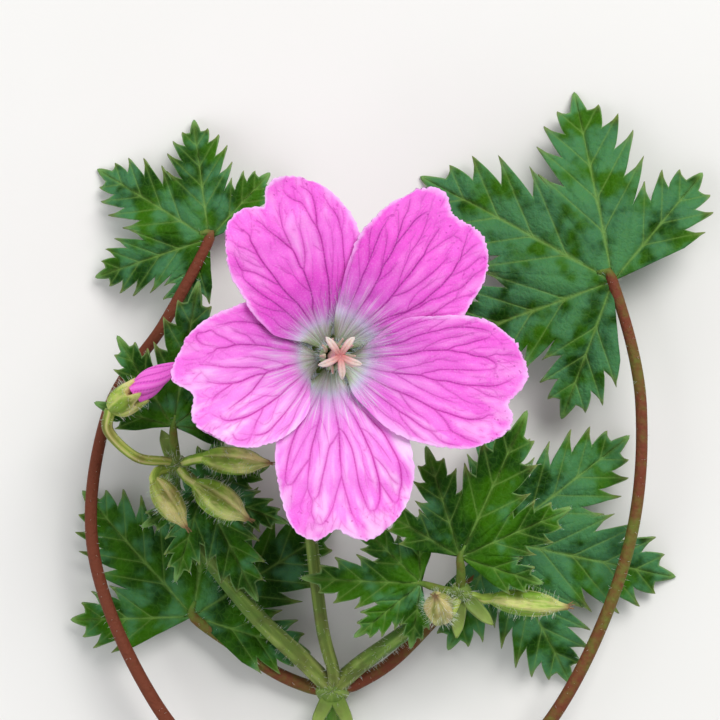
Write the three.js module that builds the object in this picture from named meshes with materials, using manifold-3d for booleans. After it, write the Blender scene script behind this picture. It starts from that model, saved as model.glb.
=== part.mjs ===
// A cut flowering stem of hardy geranium, lying on a flat surface with its open flower facing up.
// Millimetres, +Z up. +Y runs along the main stem, from its cut end towards the flower. The origin is on
// the surface, in the middle of the flat strip on which the main stem rests.
import * as THREE from "three";
import { mergeVertices } from "three/addons/utils/BufferGeometryUtils.js";
import Module from "manifold-3d";

const wasm = await Module();
wasm.setup();

// ---------------------------------------------------------------- driving dimensions

const BLADE = 0.6; // thickness of petals, sepals and leaf blades
const FLOWER_Y = 48; // from the origin to the point under the flower's centre
const FLOWER_Z = 19; // height of the flower's receptacle above the surface
const FLOWER_LEAN = 8.5; // degrees by which the flower's axis leans towards +X

const CLAW_RADIUS = 1.9; // where the petals' narrow claws start, from the flower's axis
const CUP_RISE = 5.8; // how far a petal climbs from its claw to its tip
const CUP_LENGTH = 5; // distance over which most of that climb is done
const OVERLAP_LIFT = 0.72; // how far an edge is raised above, or tucked under, the petal beside it

// Each petal's outline is given about the flower's centre as [degrees, mm]: the clockwise edge and the
// anticlockwise edge run from claw to shoulder, and the tip from one shoulder to the other over two lobes
// with the notch between them. lift says whether each side edge goes over (1) or under (-1) its neighbour.
const PETALS = {
  petal_upper_left: {
    clockwise: [
      [106, 1.9], [91, 3.1], [80, 5.2], [74, 7.6], [73, 10.2], [77, 12.9], [82, 14.7], [87, 16.1],
      [91, 17.1], [95, 17.8],
    ],
    tip: [
      [95, 17.8], [99, 18.4], [103, 18.9], [107, 19], [111, 18.4], [114, 16.75], [117, 17.1], [121, 17.5],
      [125, 17.4], [129, 16.9], [132, 15.9],
    ],
    anticlockwise: [
      [137, 1.9], [148, 2.9], [157, 4.3], [160, 6.1], [156, 7.4], [152, 8.9], [147, 10.5], [141, 13.1],
      [136, 14.8], [132, 15.9],
    ],
    lift: [-1, 1],
  },
  petal_upper_right: {
    clockwise: [
      [35, 1.9], [20, 3], [13, 4.7], [9, 7], [9, 9.6], [12, 12.2], [17, 14.3], [21, 15.5], [25, 17.2],
      [30, 18.6],
    ],
    tip: [
      [30, 18.6], [34, 19.4], [38, 19.85], [42, 19.8], [45.5, 19.4], [49.3, 19.15], [51.5, 19.6],
      [54.5, 20.4], [57.5, 20.35], [60, 20], [62.5, 19.3],
    ],
    anticlockwise: [
      [66, 1.9], [82, 3], [84, 4.6], [81.6, 6.6], [80.4, 8.8], [78.5, 10.9], [77, 12.6], [73, 14.6],
      [68.5, 16.8], [62.5, 19.3],
    ],
    lift: [-1, 1],
  },
  petal_right: {
    clockwise: [
      [-38, 1.9], [-52, 3], [-59, 4.6], [-56, 6.6], [-54, 8.2], [-51, 10], [-46.5, 11.9], [-40, 14.5],
      [-34, 17], [-28, 18.7],
    ],
    tip: [
      [-28, 18.7], [-24.5, 19.5], [-21, 19.85], [-17.8, 19.6], [-15.2, 18.9], [-12.4, 19.35], [-9.5, 19.95],
      [-6.2, 20.35], [-3, 20.15], [0.5, 19.6], [4, 19.1],
    ],
    anticlockwise: [
      [-7, 1.9], [9, 3], [21, 4.6], [27, 6.8], [26.5, 8.8], [22, 11], [18, 13.6], [13.5, 16.2], [9, 17.7],
      [4, 19.1],
    ],
    lift: [1, 1],
  },
  petal_lower: {
    clockwise: [
      [-110, 1.9], [-124, 3], [-132, 4.8], [-130, 7.2], [-124.5, 9.6], [-119, 11.8], [-114.5, 13.4],
      [-110, 15.1], [-106, 16.8], [-102.5, 18],
    ],
    tip: [
      [-102.5, 18], [-99.5, 18.6], [-96.5, 18.9], [-94, 18.85], [-91, 18.3], [-88.4, 17.75], [-85, 18.3],
      [-82, 18.95], [-79, 19.2], [-76, 19.1], [-73, 18.7],
    ],
    anticlockwise: [
      [-79, 1.9], [-65, 3], [-53, 4.9], [-45, 7.4], [-44, 10], [-48.5, 12.4], [-54, 14.5], [-60, 16.4],
      [-66.5, 17.8], [-73, 18.7],
    ],
    lift: [-1, -1],
  },
  petal_left: {
    clockwise: [
      [177, 1.9], [162, 3], [150, 4.5], [143, 6.5], [143, 8.6], [148, 10.3], [154, 11.3], [160, 12.5],
      [166.5, 13.8], [173, 14.9],
    ],
    tip: [
      [173, 14.9], [177.5, 15.3], [182, 15.9], [186, 16.3], [189.5, 16.2], [194.6, 14.7], [198, 14.75],
      [202, 15.3], [206, 15.5], [210, 15.1], [214, 14.45],
    ],
    anticlockwise: [
      [208, 1.9], [223, 3], [239, 4.3], [248, 6], [245.5, 7.6], [241.5, 9.1], [236, 10.7], [228.5, 12.5],
      [221, 13.7], [214, 14.45],
    ],
    lift: [-1, 1],
  },
};

const SEPAL_ANGLES = [88, 155, 230, 300, 14.5]; // between the petals' claws
const SEPAL = { length: 8.6, width: 3, awn: 1.1, slope: 14 };
// Half-widths of a sepal, as [share of the length, share of the width].
const SEPAL_SHAPE = [
  [0, 0.2], [0.16, 0.34], [0.4, 0.5], [0.62, 0.44], [0.82, 0.25], [0.93, 0.12], [1, 0.11],
];

const RECEPTACLE = { radius: 1.5, height: 2.2 };
const STAMENS = { count: 10, radius: 1.1, foot: 0.4, height: 5.2, spread: 0.55, thickness: 0.58 };
const PISTIL = { height: 6.5, armReach: 2.45, armThickness: 0.66 };
const STIGMA_ANGLES = [127, 52, -20, -85, 202];
// The ovary and style, as [share of the height, radius].
const COLUMN_SHAPE = [[0, 0.47], [0.12, 0.52], [0.3, 0.5], [0.5, 0.42], [1, 0.42]];
// A stigma arm, as [share of its length, share of its girth].
const ARM_SHAPE = [[0, 0.85], [0.35, 1], [0.75, 0.92], [1, 0.5]];

// Leaf blades are palmate: evenly spaced lobes, in degrees, with lengths as shares of the middle one's reach.
// Each lobe is widest a third of the way out. sinus is the share of the reach at which two lobes part.
const BROAD_LOBES = { spacing: 50, lengths: [0.66, 0.9, 1, 0.9, 0.66], teeth: 4, width: 0.48, sinus: 0.36 };
const NARROW_LOBES = { spacing: 42, lengths: [0.55, 0.76, 1, 0.72, 0.56], teeth: 3, width: 0.4, sinus: 0.26 };
const LOBE_TAPER = 0.45; // how much narrower than a plain swelling a lobe has become at its tip
const LOBE_TIP = 0.95; // how far a lobe runs on beyond its last notch, in teeth
const ROW_SLANT = 38; // degrees that a lobe's side veins lean forward from its midrib
const TOOTH_CUT = 0.42; // share of a side vein's length that the notch beyond it takes away
const TOOTH_PEAK = 0.62; // where a tooth's point falls in the stretch of midrib that it takes

// Leaves: where the blade joins its stalk, the compass heading of its middle lobe, that lobe's reach, how the
// blade climbs (pitch), leans sideways (roll) and bends down (droop, a share of the reach), how deeply each
// lobe is folded (fold), and the route of the stalk from the stem to the blade.
const LEAVES = {
  leaf_upper_right: {
    base: [13.5, -21.1, 12.9], heading: 65, reach: 16.8,
    pitch: 6, roll: 4, droop: 0.1, fold: 0.34, shape: NARROW_LOBES,
    stalk: [[13.6, -23.8, 11.4], [13.6, -22.5, 12.4]], thickness: 0.55,
  },
  leaf_upper_front: {
    base: [9.4, -24, 11.2], heading: 178, reach: 12.6,
    pitch: 4, roll: -5, droop: 0.12, fold: 0.3, shape: NARROW_LOBES,
    stalk: [[11.9, -24.8, 10.9], [10.7, -24.4, 11.2]], thickness: 0.5,
  },
  leaf_upper_left: {
    base: [-16.8, -7.4, 10.2], heading: 80, reach: 15.5,
    pitch: 8, roll: 0, droop: 0.1, fold: 0.32, shape: NARROW_LOBES,
    stalk: [[-16.7, -9.5, 10.4], [-16.8, -8.5, 10.3]], thickness: 0.55,
  },
  leaf_lower_left: {
    base: [-13.8, -14.2, 9.6], heading: -64, reach: 13.6,
    pitch: -7, roll: 0, droop: 0.1, fold: 0.34, shape: NARROW_LOBES,
    stalk: [[-14.65, -13.1, 10], [-14.3, -13.5, 9.8]], thickness: 0.5,
  },
  leaf_middle_right: {
    base: [17.6, -19.6, 4.8], heading: -13, reach: 20,
    pitch: 1, roll: 2, droop: 0.27, fold: 0.26, shape: BROAD_LOBES,
    stalk: [[2.7, -35.2, 2.6], [7, -32.4, 3], [13, -26, 3.8]], thickness: 0.75,
  },
  leaf_middle_left: {
    base: [-15, -28, 3.4], heading: 82, reach: 20,
    pitch: 0, roll: 0, droop: 0.17, fold: 0.24, shape: BROAD_LOBES,
    stalk: [[-2.45, -35.7, 2.1], [-6, -34.2, 2.3], [-11, -31, 2.9]], thickness: 0.75,
  },
  leaf_far_right: {
    base: [30, 8, 6], heading: 150, reach: 23.5,
    pitch: 0, roll: 3, droop: 0.27, fold: 0.25, shape: BROAD_LOBES,
    stalk: [[4.42, -57.55, 1.75], [13, -49.5, 3.5], [24, -38, 6.2], [31.5, -21, 6.8], [33, -5, 6.4]],
    thickness: 0.8,
  },
  leaf_far_left: {
    base: [-13.2, 12.6, 5], heading: 148, reach: 14.5,
    pitch: 0, roll: 0, droop: 0.36, fold: 0.25, shape: BROAD_LOBES,
    stalk: [
      [-0.48, -57.5, 1.75], [-8, -50, 3.5], [-19, -37, 6], [-25.5, -21, 6.6], [-24, -6, 6.2], [-18, 3.5, 5.6],
    ],
    thickness: 0.8,
  },
};

// The main stem and its branches. thickness is [at the start, at the end], as radii.
const MAIN_STEM = {
  route: [
    [5.2, -80, 1.25], [3.8, -68, 1.25], [2, -58, 1.3], [0.4, -52, 1.22], [0, -48, 1.22], [-0.2, -42, 1.25],
    [0, -36, 2.2],
  ],
  thickness: [1.55, 1.25],
};
const BRANCHES = [
  {
    route: [
      [0, -36, 2.2], [-2.6, -33.2, 4.2], [-8.5, -27.4, 5.8], [-14.6, -19.6, 6.6], [-16.9, -14.2, 8.3],
      [-16.5, -11.5, 10.6],
    ],
    thickness: [1, 0.8],
  },
  {
    route: [[0, -36, 2.2], [2.8, -33.2, 4.9], [8, -29.2, 8.4], [13.6, -25, 10.6]],
    thickness: [1, 0.8],
  },
];
const NODES = [
  { at: [2, -58, 1.3], radius: 2 },
  { at: [0, -36, 2.2], radius: 1.9 },
  { at: [-16.5, -11.5, 10.6], radius: 1.25 },
  { at: [13.6, -25, 10.6], radius: 1.25 },
];
// Stipules: a pair of small pointed scales at each node, by heading.
const STIPULES = [
  { node: 0, headings: [70, 118], climb: 48 },
  { node: 1, headings: [-62, -118], climb: 35 },
  { node: 2, headings: [115, 235], climb: -35 },
  { node: 3, headings: [-45, -95], climb: 5 },
];
const STIPULE = { length: 3.6, width: 1.5 };

const FLOWER_STALK = {
  route: [[0.1, -33.7, 4.7], [-1.2, -28, 6.8], [-2.6, -14, 9.4], [-2, -4.6, 12.8], [-0.8, -1, 15.6]],
  thickness: [0.7, 0.6],
};

// Buds: the route of each stalk, then where the bud starts and its tip.
const BUDS = {
  bud_left_upper: {
    stalk: [[-15.35, -11.15, 11.45], [-14.6, -10.9, 12.2]],
    from: [-13.6, -10.7, 12.8], tip: [-6.4, -11.2, 14.8], girth: 1.45,
  },
  bud_left_middle: {
    stalk: [[-15.75, -12.3, 11.6], [-15.2, -12.9, 12.3]],
    from: [-14.4, -13.4, 12.8], tip: [-8.7, -17.2, 13.3], girth: 1.75,
  },
  bud_left_lower: {
    stalk: [[-17.7, -12, 11.25], [-18.4, -12.2, 11.9]],
    from: [-18.7, -12.9, 12.4], tip: [-15.3, -18.1, 12.6], girth: 1.45,
  },
  bud_right_outer: {
    stalk: [[15.85, -25.7, 10.2], [16.35, -25.7, 10.1]],
    from: [16.8, -25.7, 10], tip: [25.2, -26.6, 10.4], girth: 1.35,
  },
  bud_right_inner: {
    stalk: [[12.6, -27, 11.8], [12, -27.6, 12.4]],
    from: [11.6, -27.6, 13.2], tip: [10.8, -24.8, 20], girth: 1.5,
  },
};
const OPENING_BUD = {
  stalk: [[-17.65, -11.1, 11.5], [-20.6, -10.6, 13.3], [-23.4, -7.9, 14.3]],
  from: [-23.2, -5.6, 14.8], tip: [-15.9, -0.7, 16.4],
  girth: 1.6, calyxShare: 0.46, petalGirth: 1.35,
};
// Their outlines, as [share of the length, share of the girth].
const BUD_SHAPE = [
  [0, 0.36], [0.08, 0.6], [0.22, 0.88], [0.4, 1], [0.58, 0.95], [0.74, 0.74], [0.88, 0.36], [1, 0.2],
];
const OPEN_CALYX_SHAPE = [[0, 0.42], [0.2, 0.86], [0.5, 1], [1, 0.92]];
const ROLLED_PETALS_SHAPE = [[0, 0.86], [0.3, 1], [0.6, 0.8], [0.85, 0.45], [1, 0.2]];
const BUD_STALK = [0.5, 0.55];

// ---------------------------------------------------------------- colours

const finish = (color, roughness) => new THREE.MeshStandardMaterial({ color, roughness, metalness: 0 });
const PETAL_PINK = finish("#f57fe6", 0.6);
const STIGMA_PINK = finish("#e8a99c", 0.6);
const FILAMENT = finish("#c9c8a8", 0.6);
const LEAF_GREEN = finish("#3f7a2c", 0.7);
const STEM_GREEN = finish("#6f8f45", 0.7);
const BUD_GREEN = finish("#9bab55", 0.75);

// ---------------------------------------------------------------- helpers

const ORIGIN = new THREE.Vector2();
const Z_AXIS = new THREE.Vector3(0, 0, 1);
const radians = THREE.MathUtils.degToRad;
const smooth = THREE.MathUtils.smoothstep;
const fromFlower = ([x, y, z]) => new THREE.Vector3(x, y + FLOWER_Y, z);
const curveThrough = (points) => new THREE.CatmullRomCurve3(points, false, "catmullrom", 0.5);

// The value at t of a list of [t, value] knots, by straight lines.
function along(knots, t) {
  const i = Math.max(1, knots.findIndex(([at]) => at >= t));
  const [a, b] = [knots[i - 1], knots[i]];
  return THREE.MathUtils.mapLinear(t, a[0], b[0], a[1], b[1]);
}

function solidOf(geometry) {
  const merged = mergeVertices(geometry, 1e-4);
  const index = merged.index.array;
  const kept = [];
  for (let i = 0; i < index.length; i += 3) {
    const [a, b, c] = index.slice(i, i + 3);
    if (a !== b && b !== c && a !== c) kept.push(a, b, c);
  }
  const vertProperties = merged.attributes.position.array;
  return new wasm.Manifold(new wasm.Mesh({ numProp: 3, vertProperties, triVerts: new Uint32Array(kept) }));
}

function geometryOf(points, index) {
  return new THREE.BufferGeometry().setFromPoints(points).setIndex(index);
}

// One closed geometry from several that cut into each other.
function fuse(...geometries) {
  const mesh = geometries.map(solidOf).reduce((whole, piece) => whole.add(piece)).getMesh();
  return new THREE.BufferGeometry()
    .setAttribute("position", new THREE.BufferAttribute(mesh.vertProperties, 3))
    .setIndex(new THREE.BufferAttribute(mesh.triVerts, 1));
}

// A tapering round body along a curve. radiusAt(share of the length, angle) gives its surface. A face looks
// straight down, and nothing goes below the surface that the plant lies on.
function sweep(curve, steps, sides, radiusAt) {
  const points = [];
  const index = [];
  const across = new THREE.Vector3();
  const above = new THREE.Vector3(0, 0, 1);
  if (Math.abs(curve.getTangentAt(0).z) > 0.9) above.set(0, 1, 0);
  for (let i = 0; i <= steps; i++) {
    const centre = curve.getPointAt(i / steps);
    const ahead = curve.getTangentAt(i / steps);
    above.addScaledVector(ahead, -above.dot(ahead)).normalize();
    across.crossVectors(ahead, above);
    for (let j = 0; j < sides; j++) {
      const angle = -Math.PI / 2 + ((j + 0.5) * 2 * Math.PI) / sides;
      const radius = radiusAt(i / steps, angle);
      const point = centre.clone().addScaledVector(across, radius * Math.cos(angle));
      point.addScaledVector(above, radius * Math.sin(angle));
      point.z = Math.max(point.z, 0);
      points.push(point);
    }
  }
  for (let i = 0; i < steps; i++) {
    for (let j = 0; j < sides; j++) {
      const [a, b] = [i * sides + j, i * sides + ((j + 1) % sides)];
      index.push(a, a + sides, b, b, a + sides, b + sides);
    }
  }
  for (const [ring, flip] of [[0, false], [steps, true]]) {
    const centre = points.push(curve.getPointAt(ring / steps)) - 1;
    for (let j = 0; j < sides; j++) {
      const [a, b] = [ring * sides + j, ring * sides + ((j + 1) % sides)];
      index.push(...(flip ? [centre, b, a] : [centre, a, b]));
    }
  }
  return geometryOf(points, index);
}

// A body of revolution about Z, from [radius, height] points.
function turned(profile, sides) {
  const outline = profile.map(([r, z]) => new THREE.Vector2(r, z));
  const body = new THREE.LatheGeometry(outline, sides).rotateX(Math.PI / 2);
  return body.deleteAttribute("normal").deleteAttribute("uv");
}

const taper = ([start, end]) => (share) => THREE.MathUtils.lerp(start, end, share);

// A blade: the given surface made BLADE thick, half to each side, with its free edges closed. Where the blade
// lies on the surface below, its underside is flat.
function thicken(points, triangles) {
  const surface = geometryOf(points, triangles);
  surface.computeVertexNormals();
  const normals = surface.getAttribute("normal");
  const [upper, lower] = [[], []];
  points.forEach((point, i) => {
    const lying = point.z <= BLADE / 2;
    const normal = lying ? new THREE.Vector3(0, 0, 1) : new THREE.Vector3().fromBufferAttribute(normals, i);
    upper.push(point.clone().addScaledVector(normal, BLADE / 2));
    lower.push(point.clone().addScaledVector(normal, -BLADE / 2));
  });
  const count = points.length;
  const index = [...triangles];
  const edges = new Map();
  for (let i = 0; i < triangles.length; i += 3) {
    const [a, b, c] = triangles.slice(i, i + 3);
    index.push(a + count, c + count, b + count);
    for (const [from, to] of [[a, b], [b, c], [c, a]]) {
      if (!edges.delete(`${to}-${from}`)) edges.set(`${from}-${to}`, [from, to]);
    }
  }
  for (const [from, to] of edges.values()) index.push(to, from, from + count, to, from + count, to + count);
  return geometryOf([...upper, ...lower], index);
}

// A blade over a grid of rows of points.
function gridBlade(rows) {
  const width = rows[0].length;
  const triangles = [];
  for (let i = 0; i + 1 < rows.length; i++) {
    for (let j = 0; j + 1 < width; j++) {
      const a = i * width + j;
      triangles.push(a, a + 1, a + width + 1, a, a + width + 1, a + width);
    }
  }
  return thicken(rows.flat(), triangles);
}

// ---------------------------------------------------------------- flower

// The petals' common cup, leaning with the flower, at a place measured from the flower's centre.
function cupHeight(x, y) {
  const out = Math.hypot(x, y) - CLAW_RADIUS;
  const rise = CUP_RISE * (1 - Math.exp(-out / CUP_LENGTH));
  return FLOWER_Z + 0.5 + rise - Math.tan(radians(FLOWER_LEAN)) * x;
}

// A petal is a patch stretched between its claw, its two edges and its notched tip.
function petal({ clockwise, tip, anticlockwise, lift }) {
  const polar = ([angle, r]) => new THREE.Vector3(r, 0, 0).applyAxisAngle(Z_AXIS, radians(angle));
  const [right, left, top] = [clockwise, anticlockwise, tip].map((edge) => curveThrough(edge.map(polar)));
  const [columns, rowCount] = [tip.length - 1, clockwise.length - 1];
  const shoulders = [top.getPoint(0), top.getPoint(1)];
  const rows = [];
  for (let i = 0; i <= rowCount; i++) {
    const v = i / rowCount;
    const row = [];
    for (let j = 0; j <= columns; j++) {
      const u = j / columns;
      const point = top.getPoint(u).multiplyScalar(v);
      point.addScaledVector(right.getPoint(v), 1 - u);
      point.addScaledVector(left.getPoint(v), u);
      point.addScaledVector(shoulders[0].clone().lerp(shoulders[1], u), -v);
      const out = point.length();
      const raised = lift[0] * (1 - smooth(u, 0, 0.5)) + lift[1] * smooth(u, 0.5, 1);
      point.z = cupHeight(point.x, point.y) + OVERLAP_LIFT * raised * smooth(out, CLAW_RADIUS, 4);
      point.y += FLOWER_Y;
      row.push(point);
    }
    rows.push(row);
  }
  return gridBlade(rows);
}

// The flower's own frame: its axis starts at the receptacle and leans.
const FLOWER_FRAME = new THREE.Matrix4().makeRotationY(radians(FLOWER_LEAN));
FLOWER_FRAME.setPosition(0, FLOWER_Y, FLOWER_Z);

// An ovate sepal with its thin awn, rising at an even slope in the direction of its heading.
function sepal(heading) {
  const { length, width, awn, slope } = SEPAL;
  const climb = Math.tan(radians(slope));
  const rows = SEPAL_SHAPE.map(([share, half]) => {
    const out = 0.9 + share * (length + awn);
    return [1, 0, -1].map((side) => {
      const y = side * Math.max(half * width, 0.3);
      const point = new THREE.Vector3(out, y, -0.95 + climb * out + 0.16 * Math.abs(y));
      return point.applyAxisAngle(Z_AXIS, radians(heading)).applyMatrix4(FLOWER_FRAME);
    });
  });
  return gridBlade(rows);
}

function calyxAndStalk() {
  const { radius, height } = RECEPTACLE;
  const cup = turned(
    [[0, -height], [0.62, -height], [1.1, -height * 0.55], [radius, -0.5], [radius - 0.2, -0.1], [0, -0.1]],
    10,
  );
  const foot = new THREE.Vector3(0, 0, -height + 0.4).applyMatrix4(FLOWER_FRAME);
  const route = [...FLOWER_STALK.route.map(fromFlower), foot];
  const stalk = sweep(curveThrough(route), 16, 7, taper(FLOWER_STALK.thickness));
  return fuse(stalk, cup.applyMatrix4(FLOWER_FRAME), ...SEPAL_ANGLES.map(sepal));
}

// Ten filaments in a ring, joined at the foot and spreading a little at the top.
function stamens() {
  const { count, radius, foot, height, spread, thickness } = STAMENS;
  const filaments = Array.from({ length: count }, (_, i) => {
    const tall = i % 2 ? height : height * 0.86;
    const route = [[radius, foot + 0.15], [radius, tall * 0.5], [radius + spread, tall]];
    const curve = curveThrough(route.map(([r, z]) => new THREE.Vector3(r, 0, z)));
    return sweep(curve, 3, 5, taper([thickness * 0.56, thickness * 0.5])).rotateZ((i * 2 * Math.PI) / count);
  });
  const [inner, outer, top] = [radius - 0.22, radius + 0.22, foot + 0.7];
  const ring = turned([[inner, foot], [outer, foot], [outer, top], [inner, top], [inner, foot]], 12);
  return fuse(ring, ...filaments).applyMatrix4(FLOWER_FRAME);
}

// The ovary with its slender column, and five stigma arms that arch out from the top.
function pistil() {
  const { height, armReach, armThickness } = PISTIL;
  const up = curveThrough([0.2, 2, 4, height].map((z) => new THREE.Vector3(0, 0, z)));
  const column = sweep(up, 8, 8, (share) => along(COLUMN_SHAPE, share));
  const arms = STIGMA_ANGLES.map((angle) => {
    const route = [[0.05, -0.25], [armReach * 0.4, 0.2], [armReach * 0.75, 0.15], [armReach, -0.15]];
    const curve = curveThrough(route.map(([out, z]) => new THREE.Vector3(out, 0, height + z)));
    const girth = (share) => (along(ARM_SHAPE, share) * armThickness) / 2;
    return sweep(curve, 5, 6, girth).rotateZ(radians(angle));
  });
  return fuse(column, ...arms).applyMatrix4(FLOWER_FRAME);
}

// ---------------------------------------------------------------- leaves

// Row lengths of one side of a lobe, as [start on the midrib, length]: a row runs forward at ROW_SLANT from
// the midrib to the margin, and the rows end in turn at a tooth's point and in the notch beyond it.
function freeRows(start, lobeLength, teeth, width) {
  const rows = [];
  for (let tooth = 0; tooth < teeth; tooth++) {
    for (const [offset, cut] of [[TOOTH_PEAK, 0], [1, TOOTH_CUT]]) {
      const share = (tooth + offset) / (teeth + LOBE_TIP);
      const swelling = Math.sin(Math.PI * (0.3 + 0.7 * share)) * (1 - LOBE_TAPER * share);
      const envelope = width * lobeLength * swelling;
      rows.push([start + share * (lobeLength - start), envelope * (1 - cut)]);
    }
  }
  return rows;
}

// A leaf's flat outline, cut into triangles. Each point is [x, y, distance from its lobe's midrib].
function palmateBlade(reach, { spacing, lengths, teeth, width, sinus }) {
  const points = [];
  const triangles = [];
  const seen = new Map();
  const slant = radians(ROW_SLANT);
  const half = radians(spacing) / 2;
  const pointAt = (x, y, aside) => {
    const key = `${Math.round(x * 1e4)},${Math.round(y * 1e4)}`;
    if (!seen.has(key)) seen.set(key, points.push([x, y, aside]) - 1);
    return seen.get(key);
  };
  lengths.forEach((length, k) => {
    const axis = (k - (lengths.length - 1) / 2) * 2 * half;
    const lobeLength = reach * length;
    const fewer = k === 0 || k === lengths.length - 1 ? 1 : 0;
    for (const side of [-1, 1]) {
      const onAxis = (s) => pointAt(s * Math.cos(axis), s * Math.sin(axis), 0);
      const atMargin = ([s, w]) => {
        const aside = side * w * Math.sin(slant);
        const { x, y } = new THREE.Vector2(s + w * Math.cos(slant), aside).rotateAround(ORIGIN, axis);
        return pointAt(x, y, Math.abs(aside));
      };
      const joined = [0.5, 1].map((share) => {
        const out = share * sinus * reach;
        return [(out * Math.sin(slant - half)) / Math.sin(slant), (out * Math.sin(half)) / Math.sin(slant)];
      });
      const free = freeRows(joined.at(-1)[0], lobeLength, teeth - fewer, width);
      const rows = [...joined, ...free];
      const middle = rows.map(([s]) => onAxis(s));
      const rim = rows.map(atMargin);
      const add = (a, b, c) => triangles.push(...(side > 0 ? [a, b, c] : [a, c, b]));
      add(pointAt(0, 0, 0), middle[0], rim[0]);
      for (let i = 0; i + 1 < rows.length; i++) {
        add(middle[i], middle[i + 1], rim[i + 1]);
        add(middle[i], rim[i + 1], rim[i]);
      }
      add(middle.at(-1), onAxis(lobeLength), rim.at(-1));
    }
  });
  return { points, triangles };
}

function leaf({ base, heading, reach, pitch, roll, droop, fold, shape, stalk, thickness }) {
  const { points, triangles } = palmateBlade(reach, shape);
  const turn = new THREE.Euler(radians(roll), -radians(pitch), radians(heading), "ZYX");
  const foot = fromFlower(base);
  const surface = points.map(([x, y, aside]) => {
    const bend = (droop * (x * x + y * y)) / reach;
    const point = new THREE.Vector3(x, y, fold * aside - bend).applyEuler(turn).add(foot);
    point.z = Math.max(point.z, BLADE / 2);
    return point;
  });
  const intoBlade = new THREE.Vector3(0.08 * reach, 0, 0).applyEuler(turn).add(foot);
  const route = curveThrough([...stalk.map(fromFlower), foot, intoBlade]);
  const steps = Math.max(4, Math.round(route.getLength() / 5));
  return fuse(thicken(surface, triangles), sweep(route, steps, 6, taper([thickness, thickness * 0.72])));
}

// ---------------------------------------------------------------- buds and stem

// A closed bud on its stalk: five sepals pressed together make five low ribs, and their awns the point.
function bud({ stalk, from, tip, girth }) {
  const [foot, point] = [from, tip].map(fromFlower);
  const route = curveThrough([...stalk.map(fromFlower), foot]);
  const body = new THREE.LineCurve3(foot, point);
  const ribs = (share, angle) => girth * along(BUD_SHAPE, share) * (1 + 0.07 * Math.cos(5 * angle));
  return fuse(sweep(body, 10, 10, ribs), sweep(route, 3, 6, taper(BUD_STALK)));
}

// A bud whose petals show: its sepals stand round them as a cup with pointed edges.
function openingBud({ stalk, from, tip, girth, calyxShare }) {
  const [foot, point] = [from, tip].map(fromFlower);
  const route = curveThrough([...stalk.map(fromFlower), foot]);
  const mouth = foot.clone().lerp(point, calyxShare);
  const cup = (share) => girth * along(OPEN_CALYX_SHAPE, share);
  return fuse(sweep(new THREE.LineCurve3(foot, mouth), 5, 10, cup), sweep(route, 5, 6, taper(BUD_STALK)));
}

function rolledPetals({ from, tip, calyxShare, petalGirth }) {
  const [foot, point] = [from, tip].map(fromFlower);
  const mouth = foot.clone().lerp(point, calyxShare + 0.035);
  const folds = (share, angle) => 1 + 0.1 * Math.cos(3 * (angle + 2 * share));
  const twist = (share, angle) => petalGirth * along(ROLLED_PETALS_SHAPE, share) * folds(share, angle);
  return sweep(new THREE.LineCurve3(mouth, point), 6, 9, twist);
}

function stipule(node, heading, climb) {
  const root = 0.6;
  const tip = node.radius + STIPULE.length;
  const rows = [[root, 0.9], [0.75 * tip, 1], [tip, 0.36]].map(([out, width]) =>
    [1, 0, -1].map((side) => new THREE.Vector3(out, (side * width * STIPULE.width) / 2, 0)),
  );
  const turn = new THREE.Euler(0, -radians(climb), radians(heading), "ZYX");
  return gridBlade(rows.map((row) => row.map((point) => point.applyEuler(turn).add(fromFlower(node.at)))));
}

// A swollen joint, flat where it lies on the surface below.
function knuckle({ at, radius }) {
  const ball = new THREE.IcosahedronGeometry(radius, 1).deleteAttribute("normal").deleteAttribute("uv");
  const body = mergeVertices(ball).scale(1, 0.9, 0.9).translate(...fromFlower(at));
  const { position } = body.attributes;
  for (let i = 0; i < position.count; i++) position.setZ(i, Math.max(position.getZ(i), 0));
  return body;
}

function stem() {
  const stick = ({ route, thickness }, steps, sides) =>
    sweep(curveThrough(route.map(fromFlower)), steps, sides, taper(thickness));
  const branches = BRANCHES.map((branch) => stick(branch, 10, 7));
  const scales = STIPULES.flatMap(({ node, headings, climb }) =>
    headings.map((heading) => stipule(NODES[node], heading, climb)),
  );
  return fuse(stick(MAIN_STEM, 18, 8), ...branches, ...NODES.map(knuckle), ...scales);
}

// ---------------------------------------------------------------- assembly

const plant = new THREE.Group();
plant.name = "hardy_geranium";

function add(name, geometry, material) {
  const mesh = new THREE.Mesh(geometry, material);
  mesh.name = name;
  plant.add(mesh);
}

for (const [name, shape] of Object.entries(PETALS)) add(name, petal(shape), PETAL_PINK);
add("pistil", pistil(), STIGMA_PINK);
add("stamens", stamens(), FILAMENT);
add("calyx_and_stalk", calyxAndStalk(), STEM_GREEN);
for (const [name, shape] of Object.entries(LEAVES)) add(name, leaf(shape), LEAF_GREEN);
for (const [name, shape] of Object.entries(BUDS)) add(name, bud(shape), BUD_GREEN);
add("bud_opening", openingBud(OPENING_BUD), BUD_GREEN);
add("bud_opening_petals", rolledPetals(OPENING_BUD), PETAL_PINK);
add("stem", stem(), STEM_GREEN);

export default plant;
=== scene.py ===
import math

import bpy
import numpy as np
from mathutils import Matrix


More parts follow.
